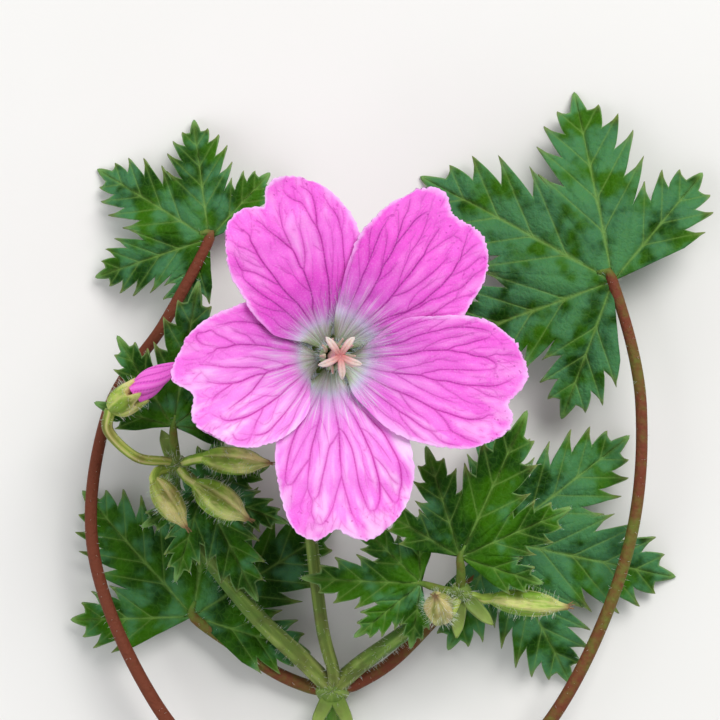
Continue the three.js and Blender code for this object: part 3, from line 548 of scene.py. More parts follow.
# Each petal's veins, from the claw outwards, in mm about the flower's centre: (strength, points). The main
# veins leave the claw, and their forks start on them; most end in an arch that meets a neighbour.
VEINS = {
    "petal_lower": [
        (1, [-.1, -2.2], [-.05, -3.3], [.2, -4.8], [.45, -6], [.75, -7.4], [.85, -8.6], [.92, -10.4],
         [1.02, -11.5], [1.05, -12.3]), (.8, [.75, -7.4], [1.3, -7.9], [1.9, -9], [2.25, -10],
         [2.6, -11.8], [2.95, -13.5], [3.4, -14.7], [3.75, -15.6], [4.1, -15.9]), (.8, [.8, -7.8],
         [.2, -8.8], [-.2, -9.4], [-.55, -11], [-.9, -12.5], [-1.15, -13.7], [-1.4, -14.4],
         [-1.9, -14.9]), (.65, [1.05, -12.3], [.85, -13], [.5, -14.2], [.2, -15.4], [-.3, -16.5],
         [-.9, -17.2], [-1.5, -17.1]), (.75, [1.05, -12.3], [1.35, -13.5], [1.8, -15], [2.1, -16.1],
         [2.5, -16.8]), (.95, [-.5, -2.1], [-.9, -3], [-1.1, -4.5], [-1.15, -6.2], [-1.4, -7.2],
         [-1.65, -8.2], [-1.9, -9], [-2.1, -10], [-2.2, -11], [-2.35, -12.3], [-2.4, -13.5]), (.45,
         [-1.6, -8], [-1.35, -8.6], [-1.2, -9.5], [-1.15, -11.2]), (.4, [-1.15, -6.4], [-.7, -7.3],
         [-.4, -8.3], [-.2, -9.3]), (.8, [-2.15, -10.5], [-2.7, -11.2], [-3.3, -12.1], [-3.9, -13],
         [-4.5, -13.2]), (.6, [-2.4, -13.5], [-2.15, -14.3], [-1.9, -14.9], [-2, -16], [-1.7, -16.9],
         [-1.9, -17.8]), (.5, [-2.4, -13.5], [-2.8, -14.4], [-3.2, -15.4]), (.9, [-.7, -2.1],
         [-1.6, -4.6], [-2.5, -6], [-3.1, -6.9], [-3.5, -7.6], [-3.9, -8.6], [-4.3, -10], [-4.6, -11.6],
         [-4.7, -12.6], [-4.5, -13.2]), (.5, [-1.4, -7], [-2.1, -7.6], [-2.6, -8.4], [-3.2, -9.5],
         [-3.8, -10.8], [-4.1, -11.6], [-4.6, -11.8]), (.3, [-3.9, -13.1], [-4, -14.2], [-4.05, -15.4]),
        (.4, [.5, -5.6], [1.2, -6.3], [1.9, -7.5], [2.4, -8.4], [2.9, -9.2], [3.2, -10.2], [3.3, -11],
         [3.7, -12.3], [4.1, -12.8], [4.65, -12.3]), (1, [.2, -2.1], [.4, -2.9], [1.1, -4.3], [1.9, -5.6],
         [2.4, -6.4], [3, -7.5], [3.6, -8.8], [4.2, -10.2], [4.6, -11.6], [4.95, -13], [5, -14.2],
         [4.9, -15], [4.6, -15.7], [4.1, -15.9]), (.45, [3.7, -9], [3.55, -9.6], [3.1, -9.75]), (.6,
         [4.25, -10.2], [4.9, -10.8], [5.6, -11.6], [6.2, -12.6], [6.8, -13.1], [7.2, -13.1]), (.7,
         [4.95, -12.9], [5.6, -13.9], [6.2, -14.8], [6.5, -15.1]), (.6, [3.1, -7.5], [3.6, -7.7],
         [4.3, -8.4], [4.9, -9.1], [5.5, -9.9], [6.2, -10.9]), (.95, [.4, -2], [.9, -3.1], [2.4, -4.9],
         [3.5, -5.9], [4.4, -6.9], [5.1, -7.6], [5.6, -8.3], [6.2, -9.4], [6.8, -10.5], [7.1, -11.5],
         [7.2, -12.5], [7.2, -13.2], [7, -14], [6.9, -14.8], [6.5, -15.1]), (.5, [6.8, -10.5], [7.3, -11],
         [7.7, -11.8], [8, -12.6]), (.4, [6.5, -15.1], [6.5, -16]), (.4, [7.2, -13.2], [7.6, -13.9]), (.4,
         [4.4, -15.9], [4.5, -17.2]), (.4, [5.3, -15.5], [5.9, -16.1]), (.35, [-3.4, -16.8],
         [-3.2, -17.3]), (.5, [3.2, -17.3], [3.25, -17.5]),
    ],
    "petal_right": [
        (.95, [1.9, -.5], [3.5, -.3], [5.5, -.05], [7, .05], [8, .2], [9.3, .5], [10.5, .57], [12, .6],
         [13, .4], [13.9, .3], [14.8, 0], [15.7, -.1], [16.4, -.4], [16.9, -.8], [16.9, -1.2],
         [16.4, -1.4]), (.6, [9.35, .5], [9.8, .95], [10.7, 1.4], [11.7, 1.8], [13, 2], [14, 2.25],
         [14.4, 2.4]), (.85, [11.9, .6], [12.8, 1], [13.8, 1.2], [14.8, 1.5], [15.6, 1.7], [16.3, 1.9]),
        (.4, [13.9, .35], [14.6, .7], [15.4, .85], [17, .9]), (.65, [15.7, -.1], [16.4, .02], [16.9, .2],
         [17.5, .1], [18.4, .15], [19, .1]), (.85, [1.9, -.4], [3.5, .6], [5, 1], [7.2, 1.4], [8.3, 1.9],
         [9.2, 2.2], [10, 2.4], [11, 2.6], [12, 2.9], [13.2, 2.97], [14.2, 2.95], [15, 2.85],
         [15.6, 2.75], [16.3, 2.5], [16.5, 2.2]), (.55, [9.8, 2.4], [10.4, 2.9], [11.2, 3.35],
         [11.9, 3.8]), (.6, [12, 2.9], [12.8, 3], [13.6, 3.2], [14.3, 3.4], [15, 3.5]), (.6, [1.9, -.3],
         [3.5, 1.2], [5, 1.8], [6.5, 2.4], [7.5, 2.9], [8.6, 3.3], [9.5, 3.6], [10.4, 3.8], [11.2, 4]),
        (.4, [4.5, 1], [6.2, 1.6], [7.4, 2.2], [8.3, 2.6], [9.2, 2.9], [10, 3.1]), (.4, [6.2, .9],
         [8, 1.25], [9.2, 1.5], [10.2, 1.75]), (.95, [1.9, -.8], [4, -1.3], [5.5, -1.6], [6.8, -1.8],
         [8, -1.88], [9.2, -2], [10, -2.3], [10.8, -2.5], [12, -2.6], [12.8, -2.8], [13.8, -3],
         [15, -3.05], [16.3, -3.1], [17.2, -3], [18, -2.7], [18.5, -2.6]), (.6, [6.3, -1.7], [7, -1.3],
         [8, -1.15], [9, -.95], [9.6, -.7], [10.4, -.6], [10.9, -.35], [12, -.45], [13, -.6]), (.75,
         [9.1, -2], [9.6, -1.75], [10.5, -1.6], [11.1, -1.42], [12.5, -1.42], [14, -1.45], [15, -1.5],
         [16.4, -1.4]), (.6, [13.6, -3], [14.4, -3.2], [15, -3.5], [16, -4], [17, -4.25], [17.8, -4.15]),
        (.6, [10.7, -2.5], [11.3, -3], [12, -3.55], [12.8, -4], [13.5, -4.5], [14.3, -4.85], [15, -5]),
        (.6, [6.6, -1.9], [7.5, -2.4], [8.5, -3], [9.5, -3.5], [10.5, -4], [11.5, -4.4], [12.5, -4.75],
         [13.1, -5]), (1, [1.8, -.9], [2.6, -1.7], [4, -2.3], [5.6, -3.1], [7, -3.7], [8, -4.1],
         [9, -4.6], [10, -5.15], [10.7, -5.5], [12, -5.9], [13, -6.25], [14, -6.5], [14.8, -6.5],
         [15.6, -6.4], [16.1, -6.1], [16.6, -6.1]), (.65, [7, -3.75], [7.5, -4.5], [8, -5.2], [8.6, -5.8],
         [9.4, -6.3], [10.1, -6.9]), (.85, [10.5, -5.4], [11.3, -6.2], [11.9, -6.9], [12.2, -7.5],
         [12.6, -7.85], [13.2, -8.15], [13.8, -8.5], [14.6, -8.8], [15.1, -8.95]), (.9, [1.7, -1],
         [2.4, -2], [3.6, -3.1], [5, -4.2], [6.3, -5.15], [7, -5.7], [8, -6.3], [8.8, -6.9], [9.5, -7.4],
         [10.2, -7.65], [10.8, -7.8]), (.65, [10.1, -7.6], [10.7, -8.2], [11.1, -8.6], [11.7, -8.9],
         [12.5, -9.1], [13.1, -9.2]), (.65, [6.9, -5.6], [7.2, -6.4], [7.8, -7.1], [8.4, -7.8], [9, -8.3],
         [9.6, -8.7]), (.6, [1.6, -1.1], [2, -2.2], [3, -3.4], [4.2, -4.8], [5, -5.6], [6, -6.4],
         [7, -6.95], [7.6, -7.5], [8.3, -8.3]), (.4, [3, -2.3], [4.6, -3.3], [6.1, -4.3], [7, -5],
         [8, -5.9]), (.4, [6, -5], [6.3, -5.9]), (.4, [17.2, -.7], [18, -.7], [18.6, -.55], [19.2, -.7]),
        (.6, [17.5, 1.3], [17.6, 1.2]), (.5, [17.75, .8], [17.8, .6]), (.5, [17.3, -6.9], [17.5, -7.1]),
        (.4, [15.3, -7.6], [15.6, -7.8]), (.35, [14.5, -2.1], [14.8, -2.1]),
    ],
    "petal_upper_right": [
        (.95, [.95, 1.7], [2, 3.4], [3, 5], [3.9, 6.2], [4.5, 7.3], [5, 8.3], [5.3, 9.2], [6, 10.2],
         [6.6, 11.4], [6.85, 12.3], [7.1, 13], [7.4, 14], [7.9, 15], [8.1, 16]), (.85, [6.55, 11.3],
         [7.4, 12.4], [7.9, 13], [8.4, 13.7], [8.8, 14.1], [9.3, 14.5], [9.9, 14.8]), (.6, [5.2, 9],
         [5.4, 10.2], [5.6, 11.2], [5.75, 12.4], [5.5, 13.4]), (.6, [4.45, 7.2], [5, 7.8], [5.6, 8.3],
         [6.2, 8.8], [6.8, 9.6]), (.5, [6.85, 12.5], [6.9, 14], [6.85, 14.8], [6.5, 15]), (.85,
         [.85, 1.75], [1.4, 3.6], [2.1, 5.5], [2.9, 7.3], [3.2, 8.2], [3.6, 9], [4, 10], [4.3, 10.8],
         [4.7, 11.8], [5.1, 12.8], [5.5, 13.5], [5.9, 14.2]), (.6, [3.9, 9.7], [3.9, 10.8], [3.9, 11.6],
         [4, 12.6], [4.2, 13.2]), (.5, [2.9, 7.3], [2.9, 8.6], [2.85, 9.6], [2.8, 10.5]), (.45, [.8, 1.8],
         [1, 4], [1.4, 6.4], [1.7, 8.2], [2, 9.2], [2.3, 10.2], [2.6, 10.8]), (.35, [2.75, 10.6],
         [2.95, 11.4], [3.2, 12.2]), (1, [1.1, 1.55], [2.4, 2.7], [4, 4], [4.7, 4.6], [5.6, 5.4],
         [6.2, 6.1], [6.8, 6.9], [7.3, 7.5], [8, 8.3], [8.5, 9], [9, 9.7], [9.5, 10.3], [9.7, 10.8],
         [10.1, 11.6], [10.8, 12.6], [11.1, 13.1]), (.6, [9.5, 10.3], [10.3, 10.9], [11, 11.4],
         [11.7, 11.9], [12.4, 12.3], [13, 12.9]), (.6, [6.85, 6.95], [7.1, 8], [7.4, 8.9], [7.8, 9.8],
         [8.1, 10.6], [8.7, 11.4], [9.2, 12.2], [9.6, 13.2], [9.9, 14.2], [9.95, 14.8]), (.35, [8, 10.7],
         [8.2, 11.9]), (.75, [6.2, 6.05], [7.6, 6.55], [8.4, 7], [9.2, 7.6], [10, 8.2], [10.8, 8.9],
         [11.4, 9.5], [12, 10.1]), (.4, [11.3, 9.4], [12, 9.6], [12.6, 9.8]), (1, [1.35, 1.3], [3, 2.5],
         [5, 3.6], [6.5, 4.2], [7.8, 4.6], [8.4, 5], [9.3, 5.5], [10, 6.1], [10.7, 6.7], [11.3, 7.2],
         [11.9, 7.9], [12.5, 8.6], [12.9, 9.4], [13.3, 10], [13.5, 10.8], [13.8, 11.7], [14, 12.5]), (.55,
         [7.8, 4.7], [8.2, 5.6], [8.8, 6.4], [9.6, 7], [10.3, 7.5], [10.9, 8]), (.65, [12.1, 8.1],
         [13.2, 8.6], [14, 9], [14.8, 9.7], [15.3, 10.1], [15.7, 10.2]), (.65, [13.3, 10.1], [14, 10.7],
         [14.5, 11.2], [15.2, 11.6]), (.35, [11.2, 7.1], [12.4, 7.3], [13.2, 7.4]), (.8, [1.45, 1.2],
         [4, 2.7], [6, 3.7], [8, 4.6], [9, 5], [9.6, 5.4], [10.4, 5.8], [11.2, 6], [11.8, 6.3],
         [12.4, 6.6], [13.1, 6.85], [13.6, 7.2], [14.2, 7.8], [14.8, 8.4], [15.5, 8.8], [15.9, 9.1]),
        (.75, [1.5, 1.1], [4, 2.2], [6, 3], [8, 3.6], [9, 3.95], [10, 4.15], [10.7, 4.5], [11.4, 5],
         [12, 5.4], [12.7, 5.8], [13, 6.3], [13.2, 6.9]), (.6, [12.6, 5.8], [13.5, 6.1], [14.4, 6.3],
         [15, 6.6]), (.5, [10, 4.15], [11, 4.25], [12, 4.35], [13.2, 4.5]), (.35, [11.3, 4.9], [12.5, 5],
         [13.6, 5.1]), (.35, [8.2, 4.3], [9.4, 4.5], [10.4, 4.75]), (.35, [9.1, 14.9], [9.3, 16.4]), (.35,
         [10.1, 15], [10.6, 16.4]), (.35, [11.2, 15.3], [11.7, 16.3]), (.5, [14.2, 12.8], [14.4, 13.1]),
        (.5, [12.4, 12.4], [13.1, 12.1], [13.7, 11.5]),
    ],
    "petal_upper_left": [
        (1, [-1.1, 1.6], [-2.3, 3.7], [-3.4, 5.3], [-4, 5.9], [-4.7, 6.6], [-5.3, 7.3], [-5.7, 7.9],
         [-6.3, 8.7], [-6.8, 9.3], [-7.4, 10.2], [-7.8, 11], [-8.2, 11.7], [-8.3, 12.2], [-8.7, 12.6],
         [-9.3, 13]), (.8, [-5.3, 7.3], [-5.7, 7.4], [-6.4, 7.8], [-7.2, 8.2], [-7.8, 8.5], [-8.4, 8.65],
         [-9.1, 8.8], [-9.5, 9.4], [-9.7, 9.9], [-9.9, 10.5]), (.5, [-6.7, 9.1], [-7.3, 9.1], [-8, 9.4],
         [-8.6, 9.7], [-9.4, 9.9]), (.6, [-7.5, 10.3], [-8.1, 10.6], [-8.6, 10.9], [-9.5, 11.2],
         [-10, 11.7]), (.4, [-8.2, 12], [-8.1, 12.8], [-8.1, 13.6]), (.85, [-1.2, 1.5], [-3, 3.1],
         [-4.5, 4.4], [-5.2, 5], [-6, 5.6], [-6.8, 6.1], [-7.6, 6.7], [-8.4, 7.4], [-8.9, 7.9],
         [-9.1, 8.7]), (.6, [-4.6, 4.5], [-5.2, 4.6], [-6, 4.7], [-6.9, 5], [-7.6, 5.3], [-8.3, 5.8]),
        (.5, [-1.3, 1.4], [-2.6, 2.2], [-4, 2.6], [-5.2, 3], [-5.9, 3.7], [-6.8, 4.3], [-7.6, 4.6]), (.5,
         [-3.5, 5.4], [-4.2, 5.7], [-5, 6], [-5.8, 6.4], [-6.6, 7], [-7.2, 7.4]), (1, [-.9, 1.7],
         [-1.5, 3.4], [-1.9, 4.8], [-1.9, 5.7], [-2.1, 6.7], [-2.3, 7.3], [-2.7, 8.4], [-2.9, 8.9],
         [-3.2, 9.2], [-3.6, 10.2], [-3.9, 10.8], [-4.1, 11], [-4.6, 11.4], [-5.3, 12], [-6, 12.5],
         [-6.6, 13], [-7.1, 13.5], [-7.6, 13.8]), (.75, [-4, 10.9], [-4.2, 11.5], [-4.6, 12.3],
         [-4.9, 13], [-5.1, 13.8], [-5.3, 14.8], [-5.3, 15.6]), (.7, [-2.8, 8.8], [-2.7, 9.6],
         [-2.7, 10.6], [-2.85, 11.6], [-3.1, 12.6], [-3.3, 13.5]), (.5, [-2.1, 6.6], [-2.8, 7.1],
         [-3.4, 7.7], [-3.9, 8.3], [-4.5, 8.5], [-5, 8.8], [-5.3, 9.1]), (1, [-.75, 1.8], [-.45, 3.4],
         [-.2, 5], [-.25, 7], [-.3, 7.9], [-.5, 9], [-.7, 10.3], [-.9, 11.5], [-1.1, 12.3], [-1.4, 13.1],
         [-1.5, 14], [-1.6, 15], [-1.75, 15.8], [-2, 16.5], [-2.5, 17], [-3.1, 17.3]), (.8, [-1.35, 13],
         [-1.9, 13.8], [-2.3, 14.5], [-2.7, 15.2], [-3.1, 15.7], [-3.7, 15.9], [-4.5, 16.4],
         [-4.9, 16.9]), (.35, [-3.6, 15.9], [-3.8, 16.7], [-3.9, 17.3]), (.4, [-1.9, 16.3], [-2, 17.3]),
        (.8, [-.6, 1.85], [.3, 3.4], [.9, 5.5], [1.3, 7.5], [1.4, 9], [1.3, 10.3], [1.2, 11.5],
         [1.1, 12.6], [.9, 13.3], [.7, 14.1], [.3, 14.8], [-.2, 15.4], [-.5, 15.9], [-.8, 16.5]), (.45,
         [1.1, 12.8], [1.3, 13.8], [1.2, 14.6], [1, 15.2]), (.45, [0, 6.4], [.1, 8], [.15, 9.5], [.2, 11],
         [.1, 12.2], [0, 13], [-.3, 14]), (.35, [.5, 6.8], [.65, 8], [.7, 9.5], [.65, 10.6]), (.35,
         [-1.9, 7.6], [-1.9, 9.5], [-2, 10.2]), (.35, [-1.2, 5.8], [-1, 7.5]), (.5, [1.9, 9.6],
         [2.1, 10.8], [2.35, 11.5], [2.3, 12.3], [2.2, 13]), (.45, [-.8, 10.6], [-1.3, 11],
         [-1.8, 11.35]), (.35, [-4.4, 9.8], [-5.2, 10.2]), (.6, [-3.9, 17.2], [-3.95, 17.35]), (.6,
         [.55, 15.4], [.65, 15.6]), (.4, [-3.7, 12.9], [-3.9, 12.9]),
    ],
    "petal_left": [
        (1, [-1.75, -.4], [-3.5, -.8], [-4.5, -1], [-5.2, -1.3], [-6.4, -1.6], [-6.8, -1.85],
         [-7.4, -1.9], [-8.3, -2.2], [-9.2, -2.6], [-10, -2.8], [-11, -2.85], [-11.8, -2.8],
         [-12.6, -2.6]), (.8, [-6.4, -1.55], [-7.1, -1.3], [-8, -1.15], [-9, -1.2], [-10, -1.15],
         [-10.7, -1.2], [-11.5, -1.05], [-12.4, -.95], [-13.4, -.85]), (.9, [-6.75, -1.8], [-7.2, -2.4],
         [-7.8, -3.2], [-8.1, -3.6], [-8.8, -4.2], [-9.6, -4.8], [-10.4, -5.4]), (.75, [-10, -2.8],
         [-10.7, -3.3], [-11.3, -3.7], [-11.8, -4.1], [-12.1, -4.5]), (.95, [-1.8, -.1], [-4, .5],
         [-5.5, .7], [-6.5, .95], [-7.5, 1.1], [-8.5, 1.15], [-9.7, 1.15], [-10.7, .85], [-11.6, .75],
         [-12, .4], [-12.6, .2]), (.75, [-9.7, 1.15], [-10.3, 1.5], [-11, 1.9], [-11.7, 2.2],
         [-12.2, 2.6], [-12.9, 2.4], [-13.6, 2.3], [-13.7, 1.8], [-13.4, 1.4], [-12.8, 1.1], [-11.9, 1],
         [-11.4, .8]), (.65, [-7.6, 1.1], [-8.1, 1.6], [-8.6, 2.1], [-9.2, 2.3], [-9.8, 2.5],
         [-10.1, 2.7]), (.75, [-1.85, .1], [-4, 1.4], [-5.4, 2], [-6.2, 2.6], [-6.9, 3.1], [-7.6, 3.3],
         [-8.5, 3.45], [-9.4, 3.5], [-10.4, 3.4], [-11, 3.25], [-11.7, 3.15]), (.4, [-6.4, 1], [-7, 1.9],
         [-8, 2.2], [-8.7, 2.35]), (.35, [-8.5, 3.5], [-9, 3.8], [-9.6, 4.2]), (.3, [-8.2, 4.6],
         [-9, 4.55], [-10, 4.3]), (.6, [-4.6, -1], [-5.6, -.6], [-6.5, -.4], [-7.4, -.2], [-8.2, -.1],
         [-9, -.1]), (.5, [-1.7, -.5], [-3.5, -1.8], [-4.3, -2.1], [-5.2, -2.6], [-5.8, -3.1],
         [-6.5, -3.3]), (1, [-1.7, -.6], [-3, -2], [-4.3, -3.1], [-5.3, -4.1], [-6.1, -4.7], [-7, -5.3],
         [-7.8, -5.8], [-8.6, -6.2], [-9.5, -6.45], [-10.3, -6.6], [-11, -6.5], [-11.3, -6.1]), (.6,
         [-5.2, -4], [-6.1, -4.15], [-6.8, -4.1], [-7.4, -4.4], [-8.3, -4.8], [-8.7, -5.2]), (.7,
         [-6.9, -5.2], [-7.2, -6], [-7.6, -6.7], [-7.8, -7.3], [-8, -7.9]), (.9, [-1.65, -.7], [-2.8, -3],
         [-3.6, -4.3], [-4.3, -5.3], [-5, -6.2], [-5.7, -7], [-6.4, -7.7], [-7, -8], [-7.7, -8.1],
         [-8.1, -8]), (.5, [-8.1, -8], [-8.3, -8.5], [-8.6, -9]), (.4, [-5.3, -4.1], [-5.6, -5],
         [-5.9, -5.8], [-6.2, -6.6], [-6.8, -7], [-7.3, -6.9]), (.35, [-5.1, -5.8], [-5.9, -5.95]), (.5,
         [-9, -6.3], [-9.3, -6.9], [-9.8, -7.6]), (.6, [-10, -8], [-9.7, -8.5], [-9, -8.6], [-8.2, -8.3]),
        (.65, [-1.6, -.8], [-2.6, -3.6], [-3.5, -5.5], [-4, -6.7], [-4.5, -7.3], [-5.2, -8]), (.4,
         [-13.4, -.3], [-14.7, -.4], [-15.2, -.2]), (.35, [-14.3, -2.9], [-15.2, -2.9]), (.4, [-13, -5.4],
         [-13.1, -5.6]), (.4, [-11.4, -7.2], [-11.8, -7.5]), (.4, [-13.9, -1.8], [-14.1, -1.8]),
    ],
}


def vein_runs(veins, seed):
    """Smooth lines through each vein's points, as (line, strength), and fine spurs that leave the veins at
    a narrow angle and fade out."""
    rng = np.random.default_rng(seed)
    runs = []
    for strength, *knots in veins:
        line = spline(knots, np.linspace(0, 1, 5 * len(knots)))
        runs.append((line, strength))
        for _ in range(len(knots) - 2 if len(knots) > 4 else 0):
            i = rng.integers(len(line) // 4, len(line) - 2)
            ahead = unit(line[i + 1] - line[i])
            side = np.array([-ahead[1], ahead[0]]) * rng.choice([-1, 1])
            reach = rng.uniform(0.6, 2.1) * shares(8)
            spur = line[i] + ahead * reach + side * (0.36 * reach - 0.08 * reach**2)
            runs.append((spur, rng.uniform(0.22, 0.36)))
    return runs


def veinlets(petal, seed):
    """Short faint veins scattered near the margin, each wandering outwards."""
    rng = np.random.default_rng(seed)
    roots = petal_place(petal, rng.uniform(0.08, 0.92, VEINLETS), rng.uniform(0.7, 0.94, VEINLETS))
    share = shares(7)
    runs = []
    for root in roots:
        ahead, side = unit(root), unit(root)[::-1] * [-1, 1]
        reach, lean, bow = rng.uniform(0.5, 1.6), *rng.normal(0, 0.4, 2)
        line = root + reach * share * (ahead + side * (lean + bow * share))
        runs.append((line, rng.uniform(0.2, 0.4)))
    return runs


def ink_at(places, runs):
    """How dark the veins are at each place, and how near it is to one: the greatest, over all stretches of
    vein, of the vein's strength times a narrow and a wide bell of the distance to it."""
    starts, ends, strengths = [], [], []
    for line, strength in runs:
        starts.append(line[:-1])
        ends.append(line[1:])
        strengths.append(strength * (1 - 0.4 * smooth(np.linspace(0, 1, len(line) - 1), 0.7, 1)))
    a, b = np.vstack(starts).astype(np.float32), np.vstack(ends).astype(np.float32)
    strength = np.concatenate(strengths).astype(np.float32)
    girth = 0.042 + 0.055 * strength
    along = b - a
    squared = np.maximum((along**2).sum(1), 1e-9)
    ink, halo = np.zeros(len(places), np.float32), np.zeros(len(places), np.float32)
    for first in range(0, len(places), BLOCK):
        block = slice(first, first + BLOCK)
        offset = places[block, None].astype(np.float32) - a
        t = np.clip((offset * along).sum(-1) / squared, 0, 1)
        gap = ((offset - t[..., None] * along) ** 2).sum(-1)
        ink[block] = (strength * np.exp(-gap / girth**2)).max(1)
        halo[block] = (strength * np.exp(-gap / VEIN_HALO**2)).max(1)
    return ink, halo


def outline_loop(rows, columns):
    """The grid's border points in order: out along the first column, across the tip, back and across."""
    grid = np.arange(rows * columns).reshape(rows, columns)
    return np.concatenate([grid[:-1, 0], grid[-1, :-1], grid[:0:-1, -1], grid[0, :0:-1]])


PETAL_ROWS, PETAL_COLUMNS = 161, 241
PETAL_LENGTH = 17.0
NIBBLE = 0.075  # mm by which a petal's margin is uneven
OUT_UNIT, BORDER_UNIT = 20.0, 2.0  # mm for one unit of the way out and of the way in from the margin


def petal_sheets(name, petal):
    """The petal's upper side on a fine grid, with the values painted on it. A petal lies on the shared cup,
    its edges over or under its neighbours; its tip is finely nibbled, it swells between its veins, and it
    waves softly towards the margin."""
    v, u = np.meshgrid(np.linspace(0, 1, PETAL_ROWS), np.linspace(0, 1, PETAL_COLUMNS), indexing="ij")
    flat = petal_place(petal, u, v)
    seed = petal["seed"]
    out = np.hypot(flat[..., 0], flat[..., 1])
    nibble = NIBBLE * sum(ripple(flat[..., 0], flat[..., 1], size, seed) for size in (0.9, 0.45))
    sides = np.sign(u - 0.5) * smooth(np.abs(2 * u - 1), 0.93, 1) * smooth(v, 0.4, 0.65)
    across = np.stack([-flat[..., 1], flat[..., 0]], -1) * (nibble * sides / out)[..., None]
    inward = CLAW_REACH * (1 - smooth(out, CLAW_RADIUS, 3.2))
    flat = flat * (1 + (nibble * smooth(v, 0.95, 1) - inward) / out)[..., None] + across
    x, y = flat[..., 0], flat[..., 1]
    out = np.hypot(x, y)

    runs = vein_runs(VEINS[name], seed) + veinlets(petal, seed)
    vein, halo = (a.reshape(u.shape) for a in ink_at(flat.reshape(-1, 2), runs))

    waves = 0.3 * ripple(x, y, 7, seed + 2) * smooth(out, 7, 16) + 0.07 * ripple(x, y, 2.2, seed + 3)
    height = petal_height(petal, u, x, y) + waves - 0.02 * vein - 0.06 * halo
    span = np.linalg.norm(flat[:, -1] - flat[:, 0], axis=1)[:, None]
    border = np.minimum(np.minimum(u, 1 - u) * span, (1 - v) * PETAL_LENGTH)
    points = np.stack([x, y + FLOWER[1], height], -1)
    early = between(petal["early"], smooth(out, 4.5, 6))
    ripe = out + early * smooth(out, 2.4, 4.8) * (1 - smooth(out, 9, 14))
    ahead = unit(flat[-1, PETAL_COLUMNS // 2])
    leaning = petal["lean"] * (ahead[0] * y - ahead[1] * x) * smooth(out, 3, 6)
    return points, dict(
        vein=vein, halo=halo, out=ripe / OUT_UNIT, border=np.clip(border / BORDER_UNIT, 0, 1),
        angle=np.mod(np.arctan2(y, x) / np.pi + petal["cut"], 2),
        pale=between(petal["pale"], smooth(out, 5, 12)) + leaning,
        dim=petal["dim"] * (1 - smooth(out, 2.8, 5)),
    )


def make_petal(name, petal, material):
    """The upper side, a coarser underside that takes every second point, and a wall that joins the two:
    each stretch of the underside's border meets two stretches of the upper one."""
    points, values = petal_sheets(name, petal)
    normal = unit(np.cross(np.gradient(points, axis=0), np.gradient(points, axis=1)))
    step = normal * PETAL_THICKNESS / 2
    upper, lower = points + step, (points - step)[::2, ::2]
    fine, coarse = outline_loop(*points.shape[:2]), outline_loop(*lower.shape[:2])
    count = upper.shape[0] * upper.shape[1]
    after = np.roll(coarse, -1)
    wall = np.stack([np.roll(fine, -2)[::2], fine[1::2], fine[::2], coarse + count, after + count], -1)
    shell = Shell(*PETAL_VALUES)
    faces = [grid_faces(*upper.shape[:2]), grid_faces(*lower.shape[:2])[:, ::-1] + count, wall]
    held = {key: np.concatenate([v.ravel(), v[::2, ::2].ravel()]) for key, v in values.items()}
    shell.add(np.vstack([upper.reshape(-1, 3), lower.reshape(-1, 3)]), faces, **held)
    shell.piece("soft_" + name, material, "petal", [name])


CLAW_HAIRS, FRINGE_HAIRS = 560, 140  # on each petal's claw, and round the filaments' feet


def add_petal_hairs(shell):
    """Pale hairs on the petals' claws, densest at their feet and edges and laid outwards like spokes; those
    at the edges of a claw lean across the gap to the next one. A fringe stands round the filaments' feet."""
    rng = np.random.default_rng(7)
    count = CLAW_HAIRS
    for petal in PETALS.values():
        u = 0.5 + 0.5 * np.sign(rng.uniform(-1, 1, count)) * rng.uniform(0.02, 0.99, count) ** 0.6
        v = 0.3 * rng.uniform(0, 1, count) ** 1.4
        flat = petal_place(petal, u, v)
        x, y = flat[:, 0], flat[:, 1]
        roots = np.stack([x, y + FLOWER[1], petal_height(petal, u, x, y)], -1)
        spoke = unit(np.stack([x, y, 0 * x], -1))
        across = np.stack([-spoke[:, 1], spoke[:, 0], 0 * x], -1) * np.sign(u - 0.5)[:, None]
        across *= (1.4 * smooth(np.abs(2 * u - 1), 0.8, 1) * (1 - smooth(v, 0.12, 0.22)))[:, None]
        astray = rng.normal(0, 0.2, (count, 3))
        directions = spoke + across + astray + [0, 0, 0.4]
        add_hairs(shell, roots, directions, rng.uniform(0.7, 1.9, count), PETAL_HAIR)
    count = FRINGE_HAIRS
    turn = rng.uniform(0, 2 * np.pi, count)
    round_it = np.stack([np.cos(turn), np.sin(turn), 0 * turn], -1)
    roots = in_flower(STAMENS["radius"] * 1.2 * round_it + [0, 0, 1] * rng.uniform(0.6, 2.2, (count, 1)))
    directions = round_it + rng.normal(0, 0.3, (count, 3))
    add_hairs(shell, roots, directions, rng.uniform(0.5, 1, count), PETAL_HAIR)


# ---------------------------------------------------------------- middle of the flower


def sepal_sheet(heading):
    """An ovate sepal drawn out into a thin awn, rising at an even slope, with three low ribs."""
    share, side = shares(40), np.linspace(1, -1, 15)
    out = 0.9 + share * (SEPAL["length"] + SEPAL["awn"]) + 0 * side
    y = side * level(SEPAL_SHAPE, share) * SEPAL["width"]
    ribs = near(side, 0.16) + near(np.abs(side) - 0.5, 0.14)
    z = -0.95 + math.tan(math.radians(SEPAL["slope"])) * out + 0.16 * np.abs(y) - 0.09 * ribs
    points = np.stack([out, y, z], -1) @ turning("Z", heading).T
    # edge falls to 0 at the sepal's margins, which are paler, and also near its foot, which is painted paler
    # as painted light against the shade inside the cup.
    values = dict(along=share + 0 * side, edge=(1 - np.abs(side)) * smooth(share, 0.25, 0.6))
    return in_flower(points), values


def add_scale(shell, points, **values):
    """A sepal or stipule: its grid of points made thick."""
    triangles = split(grid_faces(*points.shape[:2]))
    shell.add_sheet(points.reshape(-1, 3), triangles, SCALE_THICKNESS, **values)


